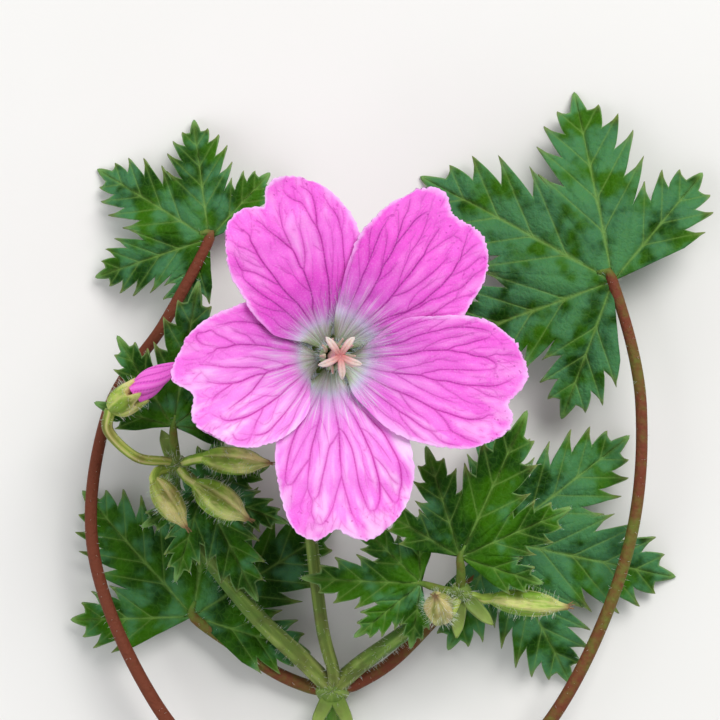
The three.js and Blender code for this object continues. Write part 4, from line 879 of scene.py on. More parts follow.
def add_stalk(shell, knots, girths, count, sides, narrowing=1, **values):
    """A stalk that tapers through the knots, with shallow ridges and slow unevenness along it. Its rings
    and the directions out of them are given back, for hairs."""
    share, angle = shares(count), ring_angles(sides)
    ridges = 1 + 0.035 * np.cos(7 * angle) + 0.02 * np.sin(9 * share + 2 * angle)
    radius = between(girths, share) * ridges * narrowing
    rings, around = tube(even_path(knots, count), radius)
    shell.add_tube(rings, **values)
    return rings, around


FLOWER_STALK_GIRTHS = 0.7, 0.6
# The receptacle, a small cup under the sepals, as [radius, height].
RECEPTACLE = [[0.62, -2.2], [0.86, -1.8], [1.12, -1.25], [1.38, -0.75], [1.5, -0.45], [1.3, -0.1]]


def make_calyx(material):
    """Five sepals, the ribbed receptacle and the flower's stalk."""
    shell = Shell(*SKIN_VALUES)
    for heading in SEPAL_ANGLES:
        points, values = sepal_sheet(heading)
        add_scale(shell, points, **values)
    radius, height = np.array(RECEPTACLE).T
    cup, _ = tube(height[:, None] * [0, 0, 1], radius[:, None] * (1 + 0.04 * np.cos(10 * ring_angles(40))))
    shell.add_tube(in_flower(cup), along=0.0, edge=1.0)
    knots = np.vstack([from_joint(FLOWER_STALK), in_flower(np.array([0.0, 0.0, -1.8]))])
    blush = np.linspace(0.35, 0.1, 90)[:, None]
    stalk = add_stalk(shell, knots, FLOWER_STALK_GIRTHS, 90, 20, along=0.0, edge=1.0, blush=blush)
    shell.piece("fine_calyx_and_stalk", material, "calyx", ["calyx_and_stalk"])
    return stalk


# The collar that joins the filaments' feet, as [radius, height].
COLLAR = [[0.88, 0.4], [1.32, 0.4], [1.32, 1.1], [0.88, 1.1]]
COLLAR_SIDES = 60


def make_stamens(material):
    """Ten filaments that widen and join at the foot, then taper and lean out to a thread-thin tip, and the
    collar round their feet."""
    shell = Shell("along")
    share = shares(24)
    for i in range(STAMENS["count"]):
        tall = STAMENS["height"] * (1 if i % 2 else 0.86)
        middle, top = STAMENS["radius"], STAMENS["radius"] + STAMENS["spread"]
        route = [[middle, 0, STAMENS["foot"] + 0.15], [middle, 0, tall * 0.5], [top, 0, tall]]
        path = even_path(route, 24) @ turning("Z", 36 * i).T
        girth = (0.38 - 0.28 * share**0.7) * np.sqrt(np.clip(1 - smooth(share, 0.95, 1), 0.05, 1))
        rings, _ = tube(path, girth * (1 - 0.42 * (1 - share) * np.cos(2 * ring_angles(14))))
        shell.add_tube(in_flower(rings), along=share)
    turn = np.linspace(0, 2 * np.pi, COLLAR_SIDES, endpoint=False)[:, None]
    out, height = np.array(COLLAR).T
    collar = np.stack([out * np.cos(turn), out * np.sin(turn), height + 0 * turn], -1)
    corner = np.arange(4)
    after, last = (corner + 1) % 4, 4 * (COLLAR_SIDES - 1)
    closing = np.stack([last + corner, corner, after, last + after], -1)
    shell.add(in_flower(collar.reshape(-1, 3)), [grid_faces(COLLAR_SIDES, 4, wrap=True), closing], along=0.0)
    shell.piece("fine_stamens", material, "filament", ["stamens"])


def make_pistil(material):
    """The ovary and its slender column, and five stigma arms that arch out. Each arm has a groove along its
    upper side, is thickest beyond its middle and ends in a point."""
    shell = Shell("along", "groove")
    column = level([[0, 0.45], [0.2, 0.62], [0.45, 0.64], [0.75, 0.52], [1, 0.4]], np.linspace(0, 1, 40))
    path = np.stack([0 * column, 0 * column, np.linspace(0.2, PISTIL["height"], 40)], -1)
    rings, _ = tube(path, column[:, None] * (1 + 0.07 * np.cos(5 * ring_angles(30))))
    shell.add_tube(in_flower(rings), along=0.4)
    share, sides = shares(44), ring_angles(28)
    for i, heading in enumerate(STIGMA_ANGLES):
        reach = PISTIL["reach"]
        sway = 0.16 * math.sin(2.1 * i)
        route = [[0.05, 0, -0.25], [reach * 0.4, sway, 0.2], [reach * 0.75, sway, 0.15], [reach, 0, -0.15]]
        path = even_path(route, 44) + [0, 0, PISTIL["height"]]
        girth = PISTIL["girth"] * level([[0, 0.78], [0.3, 0.9], [0.62, 1], [0.85, 0.66], [1, 0.12]], share)
        groove = near(sides - np.pi / 2, 0.42) * smooth(share, 0.02, 0.2)
        papillae = 0.035 * np.cos(sides * 14) * np.cos(share * 90)
        rings, _ = tube(path, girth * (1.02 - 0.34 * groove + papillae + 0.14 * np.cos(2 * sides)))
        turned = rings @ turning("Z", heading).T
        shell.add_tube(in_flower(turned), along=share, groove=groove)
    shell.piece("fine_pistil", material, "stigma", ["pistil"])


# ---------------------------------------------------------------- leaves


RISE_ROWS, FALL_ROWS, TIP_ROWS = 8, 4, 9  # up to a tooth's point, down to its notch, and in the lobe's tip
JOINED_ROWS = 9  # where the lobes are one
LEAF_ACROSS = 12  # points in a row
LEAF_HAIRS = 230  # on each blade
LEAF_STALK_TAPER = 0.72
MERGES_PER_MM = 500  # points of neighbouring lobes closer than this part of a mm are one


def tooth_samples(teeth):
    """Shares of the free part of a lobe at which its rows start, each tooth's point and notch among them."""
    rise = np.linspace(0, TOOTH_PEAK, RISE_ROWS, endpoint=False)
    fall = np.linspace(TOOTH_PEAK, 1, FALL_ROWS, endpoint=False)
    starts = (np.arange(teeth)[:, None] + np.concatenate([rise, fall])).ravel()
    last = teeth + np.linspace(0, LOBE_TIP, TIP_ROWS)
    return np.concatenate([starts, last]) / (teeth + LOBE_TIP)


def lobe_side(length, reach, shape, fewer):
    """Rows of one side of a lobe: where each starts on the midrib and how long it is, in mm. Up to the
    sinus the rows end on the ray between two lobes. Beyond it they follow a swelling outline that every tooth
    climbs almost straight, with a small spike at its point, and drops from steeply; the lobe's own tip is a
    long plain point."""
    half = math.radians(shape["spacing"]) / 2
    joined = np.linspace(0, 1, JOINED_ROWS, endpoint=False)
    scale = shape["sinus"] * reach / math.sin(ROW_SLANT)
    joined_start, joined_row = scale * math.sin(ROW_SLANT - half), scale * math.sin(half)
    teeth = shape["teeth"] - fewer
    lobe = reach * length
    share = tooth_samples(teeth)
    peak, notch = TOOTH_PEAK / (teeth + LOBE_TIP), teeth / (teeth + LOBE_TIP)

    def envelope(at):
        return shape["width"] * lobe * np.sin(np.pi * (0.3 + 0.7 * at)) * (1 - LOBE_TAPER * at)

    phase = (share * (teeth + LOBE_TIP)) % 1
    rise = 1 - np.clip(phase / TOOTH_PEAK, 0, 1) ** 0.85 - 0.1 * near(phase - TOOTH_PEAK, 0.05)
    fall = np.clip((phase - TOOTH_PEAK) / (1 - TOOTH_PEAK), 0, 1) ** 0.7
    cut = TOOTH_CUT * np.where(phase <= TOOTH_PEAK, rise, fall)
    first = joined_row + (envelope(peak) - joined_row) * np.sin(np.pi / 2 * np.clip(share / peak, 0, 1))
    row = np.where(share < peak, first, envelope(share) * (1 - cut))
    to_tip = np.clip((share - notch) / (1 - notch), 0, 1)
    row = np.where(share >= notch, envelope(notch) * (1 - TOOTH_CUT) * (1 - to_tip) ** 0.9, row)
    start = joined_start + share * (lobe - joined_start)
    starts = np.concatenate([joined * joined_start, start])
    rows = np.concatenate([joined * joined_row, row])
    beyond = np.concatenate([joined - 1, share])
    phases = np.concatenate([np.full(len(joined), 0.1), phase])
    vein_at = np.array([joined_start + (k + TOOTH_PEAK) / (teeth + LOBE_TIP) * (lobe - joined_start)
                        for k in range(teeth)])
    return starts, rows, beyond, phases, vein_at


def leaf_sheet(leaf, seed):
    """The blade as one sheet of triangles. Every lobe side is a grid: rows run from the midrib to the
    margin, leaning forward. A point's height is the lobe's fold, less the droop, plus the swelling between
    veins."""
    shape, reach = leaf["shape"], leaf["reach"]
    points, triangles, rib, edge, tip, size = [], [], [], [], [], 0
    for k, length in enumerate(shape["lengths"]):
        axis = (k - 2) * shape["spacing"]
        for side in (-1, 1):
            fewer = 1 if k in (0, 4) else 0
            start, row, beyond, phase, vein_at = lobe_side(length, reach, shape, fewer)
            t = np.linspace(0, 1, LEAF_ACROSS)[None, :]
            start, row, beyond, phase = (a[:, None] for a in (start, row, beyond, phase))
            aside = row * t * math.sin(ROW_SLANT)
            x = start + row * t * math.cos(ROW_SLANT)
            to_side_vein = np.abs(start[..., None] - vein_at).min(-1) * math.sin(ROW_SLANT)
            veins = np.maximum(near(aside, 0.2), 0.75 * near(to_side_vein, 0.13) * (1 - 0.4 * t))
            swell = (1 - near(to_side_vein, 0.7)) * np.sin(np.pi * np.clip(t, 0.02, 1) ** 0.8)
            lift = 0.32 * swell * smooth(beyond, -0.6, 0.2) - 0.12 * veins
            flat = np.stack([x, side * aside, leaf["fold"] * aside + lift], -1)
            flat = flat @ turning("Z", axis).T
            points.append(flat.reshape(-1, 3))
            faces = split(grid_faces(*flat.shape[:2])) + size
            triangles.append(faces[:, ::-1] if side < 0 else faces)
            free = smooth(beyond, -0.02, 0.06)
            rib.append(veins.ravel())
            edge.append(((1 - t) * row * 0.6 * free + 3 * (1 - free)).ravel())
            tip.append((near(phase - TOOTH_PEAK, 0.12) * smooth(t, 0.8, 1) * free).ravel())
            size += flat.shape[0] * flat.shape[1]
    points, triangles = np.vstack(points), np.vstack(triangles)
    values = np.array([np.concatenate(v) for v in (rib, edge, tip)])
    merged = np.round(points[:, :2] * MERGES_PER_MM)
    _, kept, inverse = np.unique(merged, axis=0, return_index=True, return_inverse=True)
    points, values = points[kept], values[:, kept]
    triangles = inverse.ravel()[triangles][:, ::-1]
    a, b, c = triangles.T
    triangles = triangles[(a != b) & (b != c) & (a != c)]
    x, y = points[:, 0], points[:, 1]
    points[:, 2] -= leaf["droop"] * (x**2 + y**2) / reach
    points[:, 2] += 0.22 * ripple(x, y, 6, seed) * smooth(np.hypot(x, y), 2, 8)
    return points, triangles, dict(rib=values[0], edge=np.clip(values[1] / 2, 0, 1), tip=values[2])


def leaf_turn(leaf):
    """The leaf's heading, pitch and roll as one rotation."""
    return turning("Z", leaf["heading"]) @ turning("Y", -leaf["pitch"]) @ turning("X", leaf["roll"])


def make_leaf(name, leaf, material, seed, hairs):
    """Blade and stalk of one leaf, and hairs along the blade's margin and veins."""
    points, triangles, values = leaf_sheet(leaf, seed)
    turn, foot = leaf_turn(leaf), from_flower(leaf["base"])
    points = points @ turn.T + foot
    points[:, 2] = np.maximum(points[:, 2], LEAF_THICKNESS / 2 + 0.02)
    shell = Shell(*LEAF_VALUES)
    shell.add_sheet(points, triangles, LEAF_THICKNESS, bloom=leaf["bloom"], **values)
    into = turn @ [0.08 * leaf["reach"], 0, 0] + foot
    knots = np.vstack([from_joint(leaf["stalk"]), foot, into])
    length = np.linalg.norm(np.diff(knots, axis=0), axis=1).sum()
    count = max(14, int(length * 1.6))
    merging = smooth(np.linspace(0, length, count), length - 2.2, length)[:, None]
    girths = leaf["girth"], leaf["girth"] * LEAF_STALK_TAPER
    rings, around = add_stalk(shell, knots, girths, count, 16, narrowing=1 - 0.55 * merging, edge=1.0,
                              stalk=1 - 0.85 * merging, rib=merging, tip=leaf["red"] * (1 - merging))
    shell.piece("fine_" + name, material, "leaf", [name])

    rng = np.random.default_rng(seed)
    normals = turned_normals(points, triangles)
    weight = near(values["edge"], 0.06) + 0.5 * values["rib"] + 0.06
    picks = rng.choice(len(points), LEAF_HAIRS, p=weight / weight.sum())
    leaning = normals[picks] + rng.normal(0, 0.45, (LEAF_HAIRS, 3))
    outwards = unit(points[picks] - foot) * near(values["edge"][picks], 0.1)[:, None] * 1.6
    add_hairs(hairs, points[picks], leaning + outwards, rng.uniform(0.35, 0.8, LEAF_HAIRS), HAIR)
    add_tube_hairs(hairs, rings, around, int(length * 3), 0.7, rng)


# Hairs on tubes, as (count, length in mm).
BUD_HAIRS, BUD_STALK_HAIRS = (200, 1.05), (30, 0.8)
OPENING_BUD_HAIRS, OPENING_STALK_HAIRS = (130, 1.0), (60, 0.8)
FLOWER_STALK_HAIRS, JOINT_HAIRS = (260, 0.8), (160, 1.1)


def add_tube_hairs(shell, rings, around, count, length, rng):
    """Hairs scattered over a tube, standing out from it."""
    i, j = rng.integers(0, rings.shape[0], count), rng.integers(0, rings.shape[1], count)
    directions = around[i, j] + rng.normal(0, 0.25, (count, 3))
    add_hairs(shell, rings[i, j], directions, rng.uniform(0.5, 1, count) * length, HAIR)


# ---------------------------------------------------------------- buds and stem


def seams(angle, width):
    """1 on the five seams between a bud's sepals, and 0 beyond this width in fifths of a radian."""
    phase = 5 * angle + np.pi
    return near(np.arctan2(np.sin(phase), np.cos(phase)), width)


def sepal_ribs(share, angle):
    """Five sepals pressed together: a low swelling each, a keel of three nerves, and a seam between two."""
    strength = 1 - smooth(share, 0.78, 0.92)
    fine = 0.022 * np.cos(15 * angle) - 0.06 * seams(angle, 0.35)
    return 1 + 0.07 * np.cos(5 * angle) + fine * strength


def make_bud(name, bud, material, hairs, seed):
    """A closed bud: a swollen body that narrows to a bundle of awns, on a short stalk."""
    foot, tip = from_flower(bud["foot"]), from_flower(bud["tip"])
    share, angle = shares(72), ring_angles(60)
    path = foot + share * (tip - foot)
    awns = 0.25 * smooth(share, 0.86, 1) * np.cos(5 * angle)
    girth = bud["girth"] * level(BUD_SHAPE, share)
    close = np.sqrt(np.clip(1 - smooth(share, 0.975, 1.0), 0.02, 1))
    rings, around = tube(path, girth * (sepal_ribs(share, angle) + awns) * close)
    shell = Shell(*SKIN_VALUES)
    shell.add_tube(rings, along=share, edge=1 - seams(angle, 0.3), blush=bud["blush"])
    knots = np.vstack([from_joint(bud["stalk"]), foot, foot + 0.06 * (tip - foot)])
    stalk = add_stalk(shell, knots, BUD_STALK, 24, 16, along=0.0, edge=1.0, blush=bud["blush"] * 0.6)
    rng = np.random.default_rng(seed)
    add_awns(shell, tip, tip - foot, rng)
    shell.piece("fine_" + name, material, "bud", [name])
    add_tube_hairs(hairs, rings[4:62], around[4:62], *BUD_HAIRS, rng)
    add_tube_hairs(hairs, *stalk, *BUD_STALK_HAIRS, rng)


def add_awns(shell, tip, ahead, rng):
    """The stiff points in which the sepals end, a little spread."""
    ahead = unit(ahead)
    for _ in range(4):
        spread = unit(ahead + rng.normal(0, 0.28, 3))
        start = tip - ahead * 0.5
        path = start + shares(10) * spread * rng.uniform(0.9, 1.3)
        rings, _ = tube(path, np.linspace(0.13, 0.035, 10)[:, None] + np.zeros(8))
        shell.add_tube(rings, along=1.0, edge=1.0, blush=0.9)


def make_opening_bud(bud_material, petal_material, hairs):
    """A bud whose petals show: sepals round them as a cup with pointed edges, and the petals rolled up."""
    bud = OPENING_BUD
    foot, tip = from_flower(bud["foot"]), from_flower(bud["tip"])
    mouth = foot + bud["calyx_share"] * (tip - foot)
    share, angle = shares(48), ring_angles(60)
    path = foot + share * (mouth - foot)
    girth = bud["girth"] * level(OPEN_CALYX_SHAPE, share) * (1 - 0.25 * smooth(share, 0.96, 1))
    rings, around = tube(path, girth * sepal_ribs(0 * share, angle))
    ahead = unit(tip - foot)
    rings = rings + (0.9 * smooth(share, 0.6, 1) * (np.cos(5 * angle) - 1))[..., None] * ahead
    shell = Shell(*SKIN_VALUES)
    shell.add_tube(rings, along=share * 0.8, edge=1 - seams(angle, 0.3), blush=0.25)
    knots = np.vstack([from_joint(bud["stalk"]), foot])
    stalk = add_stalk(shell, knots, BUD_STALK, 40, 16, along=0.0, edge=1.0, blush=0.4)
    shell.piece("fine_bud_opening", bud_material, "bud", ["bud_opening"])
    rng = np.random.default_rng(91)
    add_tube_hairs(hairs, rings[3:], around[3:], *OPENING_BUD_HAIRS, rng)
    add_tube_hairs(hairs, *stalk, *OPENING_STALK_HAIRS, rng)

    start = foot + (bud["calyx_share"] - 0.1) * (tip - foot)
    share = shares(60)
    path = start + share * (tip - start)
    twist = angle + 2 * share
    folds = 1 + 0.1 * np.cos(3 * twist) - 0.12 * near(np.mod(3 * twist, 2 * np.pi) - np.pi, 0.6)
    girth = bud["petal_girth"] * level(ROLLED_PETALS_SHAPE, share)
    rings, _ = tube(path, girth * folds)
    vein = near(np.mod(9 * twist, 2 * np.pi) - np.pi, 0.5) * 0.6
    shell = Shell(*PETAL_VALUES)
    shell.add_tube(rings, vein=vein, halo=vein, out=0.75, border=1.0, angle=twist / 6, pale=0.1)
    shell.piece("soft_bud_opening_petals", petal_material, "petal", ["bud_opening_petals"])


def stipule_sheet(joint, heading):
    """A small pointed scale, thin and a little hollow, standing off its joint."""
    share, side = shares(18), np.linspace(1, -1, 9)
    tip = joint["radius"] + STIPULE["length"]
    out = 0.6 + share * (tip - 0.6) + 0 * side
    half = STIPULE["width"] / 2 * level([[0, 0.9], [0.3, 1], [0.7, 0.8], [0.9, 0.38], [1, 0.1]], share)
    y = side * half
    z = 0.25 * side**2 * half
    turn = turning("Z", heading) @ turning("Y", -joint["climb"])
    return np.stack([out, y, z], -1) @ turn.T + from_flower(joint["at"]), share + 0 * side


STEM_GIRTHS, BRANCH_GIRTHS = (1.55, 1.25), (1.0, 0.8)  # radii at the foot and at the top


def make_stem(material, hairs):
    """The main stem, its branches, and the swollen joints with their stipules."""
    rng = np.random.default_rng(5)
    shell = Shell(*SKIN_VALUES)
    runs = [(MAIN_STEM, STEM_GIRTHS, 150), *((branch, BRANCH_GIRTHS, 90) for branch in BRANCHES)]
    for route, girths, count in runs:
        blush = 0.45 * (1 - shares(count)) ** 2
        run = add_stalk(shell, from_flower(route), girths, count, 24, along=0.0, edge=1.0, blush=blush)
        add_tube_hairs(hairs, *run, count * 4, 0.75, rng)
    for joint in JOINTS:
        centre, radius = from_flower(joint["at"]), joint["radius"]
        climb = np.pi * shares(22)
        path = centre - 0.9 * radius * np.cos(climb) * [0, 0, 1]
        swell = radius * np.maximum(np.sin(climb), 0.02) * (1 + 0.03 * np.cos(6 * ring_angles(28)))
        rings, _ = tube(path, swell)
        rings[..., 1] = centre[1] + 0.9 * (rings[..., 1] - centre[1])
        shell.add_tube(rings, along=0.0, edge=0.6, blush=0.15)
        add_tube_hairs(hairs, rings, unit(rings - centre), *JOINT_HAIRS, rng)
        for heading in joint["scales"]:
            points, share = stipule_sheet(joint, heading)
            add_scale(shell, points, along=0.3 * share, edge=0.6, blush=0.2)
    shell.piece("fine_stem", material, "stem", ["stem"])


# ---------------------------------------------------------------- materials


def colour(red, green, blue):
    """A colour given as on a screen, 0 to 255, as the shader's linear values."""
    screen = np.array([red, green, blue]) / 255
    linear = np.where(screen <= 0.04045, screen / 12.92, ((screen + 0.055) / 1.055) ** 2.4)
    return (*linear.tolist(), 1.0)


class Value:
    """What varies over a surface. Its operators add Math nodes."""

    def __init__(self, paint, socket):
        self.paint, self.socket = paint, socket

    def math(self, operation, first, second):
        return self.paint.node("ShaderNodeMath", {"operation": operation}, {0: first, 1: second})

    def __add__(self, other):
        return self.math("ADD", self, other)

    def __mul__(self, other):
        return self.math("MULTIPLY", self, other)

    def __sub__(self, other):
        return self.math("SUBTRACT", self, other)

    def __rsub__(self, other):
        return self.math("SUBTRACT", other, self)

    __radd__, __rmul__ = __add__, __mul__


class Paint:
    """A material: one Principled shader, and the nodes that vary its colour, roughness and relief."""

    def __init__(self, name, **sockets):
        self.material = bpy.data.materials.new(name)
        self.material.use_nodes = True
        self.tree = self.material.node_tree
        self.shader = self.tree.nodes["Principled BSDF"]
        for label, value in sockets.items():
            self.shader.inputs[label.replace("_", " ")].default_value = value

    def node(self, kind, settings, inputs, output=0):
        """A node of this kind, its settings made first, then its sockets given values or links."""
        node = self.tree.nodes.new(kind)
        for name, value in settings.items():
            if name == "stops":
                for place, shade in value[1:-1]:
                    node.color_ramp.elements.new(place)
                for element, (place, shade) in zip(node.color_ramp.elements, value):
                    element.position, element.color = place, shade
            else:
                setattr(node, name, value)
        for key, value in inputs.items():
            if isinstance(value, Value):
                self.tree.links.new(value.socket, node.inputs[key])
            else:
                node.inputs[key].default_value = value
        return Value(self, node.outputs[output])

    def held(self, *names):
        """Values held at the mesh's points."""
        return [self.node("ShaderNodeAttribute", {"attribute_name": name}, {}, output=2) for name in names]

    def place(self):
        """Where on the object a point lies, in metres."""
        return self.node("ShaderNodeTexCoord", {}, {}, output=3)

    def clouds(self, at, scale, detail):
        """Cloudy noise, 0 to 1, with about this many clouds for each unit of the place."""
        return self.node("ShaderNodeTexNoise", {}, {"Vector": at, "Scale": scale, "Detail": detail})

    def noise(self, grain, detail=3.0):
        """Cloudy noise whose clouds are about grain mm across."""
        return self.clouds(self.place(), 1 / (grain * MM), detail)

    def point(self, *values):
        """Up to three values as one place, by which noise can be drawn out."""
        return self.node("ShaderNodeCombineXYZ", {}, dict(enumerate(values)))

    def spokes(self, angle, out, across, along):
        """Noise drawn out into streaks that run away from the centre: counts of streaks across half a turn,
        and of changes along the way out."""
        return self.clouds(self.point(angle * across, out * along), 1.0, 3.0)

    def cells(self, size):
        """Distance from the nearest wall of a net of cells of this size in mm, 0 at a wall."""
        settings, scale = {"feature": "DISTANCE_TO_EDGE"}, 1 / (size * MM)
        return self.node("ShaderNodeTexVoronoi", settings, {"Vector": self.place(), "Scale": scale})

    def ramp(self, value, *stops):
        """A colour read from (value, colour) stops."""
        return self.node("ShaderNodeValToRGB", {"stops": stops}, {0: value})

    def step(self, value, low, high):
        """0 below low and 1 above high, with an even S between."""
        settings = {"interpolation_type": "SMOOTHSTEP"}
        return self.node("ShaderNodeMapRange", settings, {0: value, 1: low, 2: high})

    def mix(self, share, first, second):
        """The first colour at share 0, the second at share 1."""
        settings = {"data_type": "RGBA"}
        return self.node("ShaderNodeMix", settings, {0: share, 6: first, 7: second}, output=2)

    def bump(self, height, depth):
        """Relief, depth being the full height in mm."""
        return self.node("ShaderNodeBump", {}, {"Height": height, "Distance": depth * MM, "Strength": 1.0})

    def finish(self, **links):
        """The material, its values linked to the shader's sockets."""
        for label, value in links.items():
            self.tree.links.new(value.socket, self.shader.inputs[label.replace("_", " ")])
        return self.material


def petal_paint():
    """Pink tissue over a pale green centre, deeper or more washed out by petal, the paler petals partly paler
    in themselves and partly painted light where they face the lamps more; painted shade at some petals'
    hearts, beside the claws' edges near the centre, between the pale fibres there and close to the veins;
    glowing fields between crimson veins, soft streaks and finer fibres that run outwards, a paler rim,
    freckles and fine cell grain."""
    paint = Paint("petal_tissue", Subsurface_Weight=0.1, Subsurface_Scale=0.6 * MM,
                  Subsurface_Radius=(1.0, 0.35, 0.8), Specular_IOR_Level=0.25,
                  Sheen_Weight=0.05, Sheen_Roughness=0.5)
    vein, halo, out, border, angle, pale, dim = paint.held(*PETAL_VALUES)
    streaks = paint.spokes(angle, out, 60.0, 3.0)
    fibres = paint.spokes(angle, out, 190.0, 4.0)
    flames = paint.spokes(angle, out, 24.0, 4.0)
    inner = 1 - paint.step(out, 0.2, 0.5)
    radius = out + (streaks - 0.5) * 0.07 + (fibres - 0.5) * inner * 0.09
    heart = [(0.05, colour(136, 168, 86)), (0.11, colour(172, 210, 142)), (0.165, colour(196, 226, 190))]
    deep = paint.ramp(
        radius, *heart, (0.22, colour(200, 206, 226)), (0.28, colour(208, 146, 214)),
        (0.36, colour(212, 88, 202)), (0.55, colour(236, 82, 210)), (0.75, colour(252, 96, 222)),
        (1.0, colour(252, 112, 228)),
    )
    light = paint.ramp(
        radius, *heart, (0.215, colour(206, 206, 230)), (0.27, colour(232, 172, 238)),
        (0.36, colour(240, 142, 236)), (0.52, colour(242, 138, 234)), (0.78, colour(242, 104, 224)),
        (1.0, colour(240, 84, 212)),
    )
    # The paler copy of the colours, mixed in by pale: partly the petals' own paler tissue, partly painted
    # light on the petals that face the lamps more.
    base = paint.mix(pale, deep, light)
    flame = paint.step(flames + streaks * 0.35, 0.56, 0.84)
    glow = (1 - halo) * (streaks * 0.4 + flame * 0.8) * paint.step(out, 0.2, 0.4)
    base = paint.mix(glow * (0.12 + pale * 0.7), base, colour(252, 210, 250))
    flush = paint.step(flames, 0.4, 0.62) * 0.3 + paint.step(paint.noise(2.6), 0.4, 0.7) * 0.2
    base = paint.mix((0.5 - flush) * 0.6, base, paint.mix(pale, colour(220, 56, 196), colour(246, 96, 222)))
    base = paint.mix(paint.step(fibres, 0.48, 0.66) * inner * 0.7, base, colour(226, 242, 236))
    # Painted shade: grey-green between the pale fibres near the centre.
    shade_between_fibres = (1 - paint.step(fibres, 0.3, 0.48)) * (1 - paint.step(out, 0.14, 0.3))
    base = paint.mix(shade_between_fibres * 0.5, base, colour(128, 146, 104))
    shade = (1 - paint.step(border, 0.0, 0.35)) * (1 - paint.step(out, 0.15, 0.24))
    base = paint.mix(shade * 0.75, base, colour(112, 134, 62))
    # Painted shade: the hearts of some petals darkened towards grey.
    base = paint.mix(dim, base, colour(118, 112, 106))
    worn = paint.noise(0.8, 2.0)
    rim = (1 - paint.step(border + worn * 0.34, 0.14, 0.46)) * paint.step(out, 0.35, 0.65)
    base = paint.mix(rim * 0.75, base, colour(244, 200, 248))
    crimson = paint.mix(pale, colour(148, 6, 134), colour(188, 12, 152))
    crimson = paint.mix(1 - paint.step(out, 0.17, 0.34), crimson, colour(140, 112, 166))
    ink = vein * (0.15 + paint.step(out, 0.16, 0.46) * 0.82)
    # Painted shade: a crimson tint close to the veins, where the tissue sinks towards them.
    painted = paint.mix(halo * 0.2, base, crimson)
    painted = paint.mix(ink, painted, crimson)
    freckles = paint.step(paint.noise(0.55, 1.0), 0.68, 0.74) * paint.step(out, 0.55, 0.9)
    painted = paint.mix(freckles * 0.5, painted, crimson)
    grain = paint.noise(0.16, 2.0)
    painted = paint.mix(paint.step(grain, 0.45, 0.8) * 0.2, painted, colour(252, 196, 248))
    relief = grain * 0.35 + streaks * 0.3 + fibres * 0.25 - vein * 0.25
    rough = 0.52 + grain * 0.18
    return paint.finish(Base_Color=painted, Roughness=rough, Normal=paint.bump(relief, 0.1))


def leaf_paint():
    """Deep green blade with a fine net of pale veins, bluish painted sheen in patches and pale margins; the
    stalks are paler, or reddish. tip is a tooth's point on a blade, and on a stalk how reddish it is."""
    paint = Paint("leaf_blade", Specular_IOR_Level=0.1, Subsurface_Weight=0.04, Subsurface_Scale=0.5 * MM)
    rib, edge, tip, stalk, bluish = paint.held(*LEAF_VALUES)
    patches = paint.step(paint.noise(5.0), 0.38, 0.62)
    green = paint.mix(patches, colour(18, 58, 0), colour(50, 100, 0))
    # Painted sheen: bluish patches, more on the blades given more of it.
    bloom = paint.step(paint.noise(3.0, 2.0) + bluish * 0.26, 0.56, 0.78)
    green = paint.mix(bloom * 0.65, green, colour(80, 140, 94))
    net = 1 - paint.step(paint.cells(0.75), 0.0, 0.1)
    green = paint.mix(net * 0.16, green, colour(84, 134, 44))
    green = paint.mix(rib * 0.7, green, colour(122, 160, 76))
    green = paint.mix((1 - paint.step(edge, 0.0, 0.09)) * 0.7, green, colour(124, 162, 96))
    green = paint.mix(tip * 0.4, green, colour(150, 140, 84))
    red = paint.step(paint.noise(11.0, 5.0) * 0.7 + paint.noise(0.9, 2.0) * 0.3 + tip * 0.24, 0.44, 0.76)
    green = paint.mix(stalk, green, paint.mix(red, colour(98, 124, 48), colour(116, 62, 44)))
    relief = paint.cells(1.5) * 0.9 + paint.cells(0.75) * 0.8 + paint.noise(0.25) * 0.6 - rib * 0.6
    rough = 0.45 + paint.noise(1.5) * 0.25
    return paint.finish(Base_Color=green, Roughness=rough, Normal=paint.bump(relief, 0.16))


def bud_paint(name, low, high, cream, olive):
    """Yellowish green in lengthwise streaks; olive in patches, partly the skin's own tone and partly painted
    shade, and in fine streaks; cream in streaks along the sepals, partly their own colour and partly painted
    highlight, and on their pale seams; and pinkish tan at the very tip or by blush."""
    paint = Paint(name, Specular_IOR_Level=0.3, Sheen_Weight=0.1, Sheen_Roughness=0.4)
    along, edge, blush, east, north = paint.held(*SKIN_VALUES)
    round_it = paint.point(east * 1.1, north * 1.1, along * 1.3 + blush * 9.0)
    streaks, fibres = paint.clouds(round_it, 1.0, 3.0), paint.clouds(round_it, 11.0, 2.0)
    patches = paint.noise(1.9, 2.0)
    green = paint.mix(paint.step(streaks, 0.4, 0.6), low, high)
    # Olive patches: partly the skin's own tone, partly painted shade.
    green = paint.mix(paint.step(patches, 0.46, 0.66) * 0.65, green, olive)
    # Cream streaks: partly the sepals' own colour, partly painted highlight, more towards the tip.
    light = paint.step(streaks + along * 0.2 + (fibres - 0.5) * 0.25, 0.5, 0.78)
    green = paint.mix(light * 0.85, green, cream)
    # Cream where edge is low: the pale seams and sepal margins, and on the sepals' feet painted light against
    # the shade inside the flower's cup.
    green = paint.mix((1 - edge) * 0.5, green, cream)
    green = paint.mix(paint.step(fibres, 0.5, 0.7) * 0.2, green, olive)
    ruddy = blush * (0.2 + paint.noise(1.6) * 0.9)
    green = paint.mix(ruddy, green, colour(158, 104, 78))
    green = paint.mix(paint.step(along, 0.86, 1.0) * 0.8, green, colour(140, 100, 66))
    relief = paint.noise(0.3) * 0.4 + edge * 0.3 + fibres * 0.5
    rough = 0.45 + paint.noise(0.8) * 0.25
    return paint.finish(Base_Color=green, Roughness=rough, Normal=paint.bump(relief, 0.12))


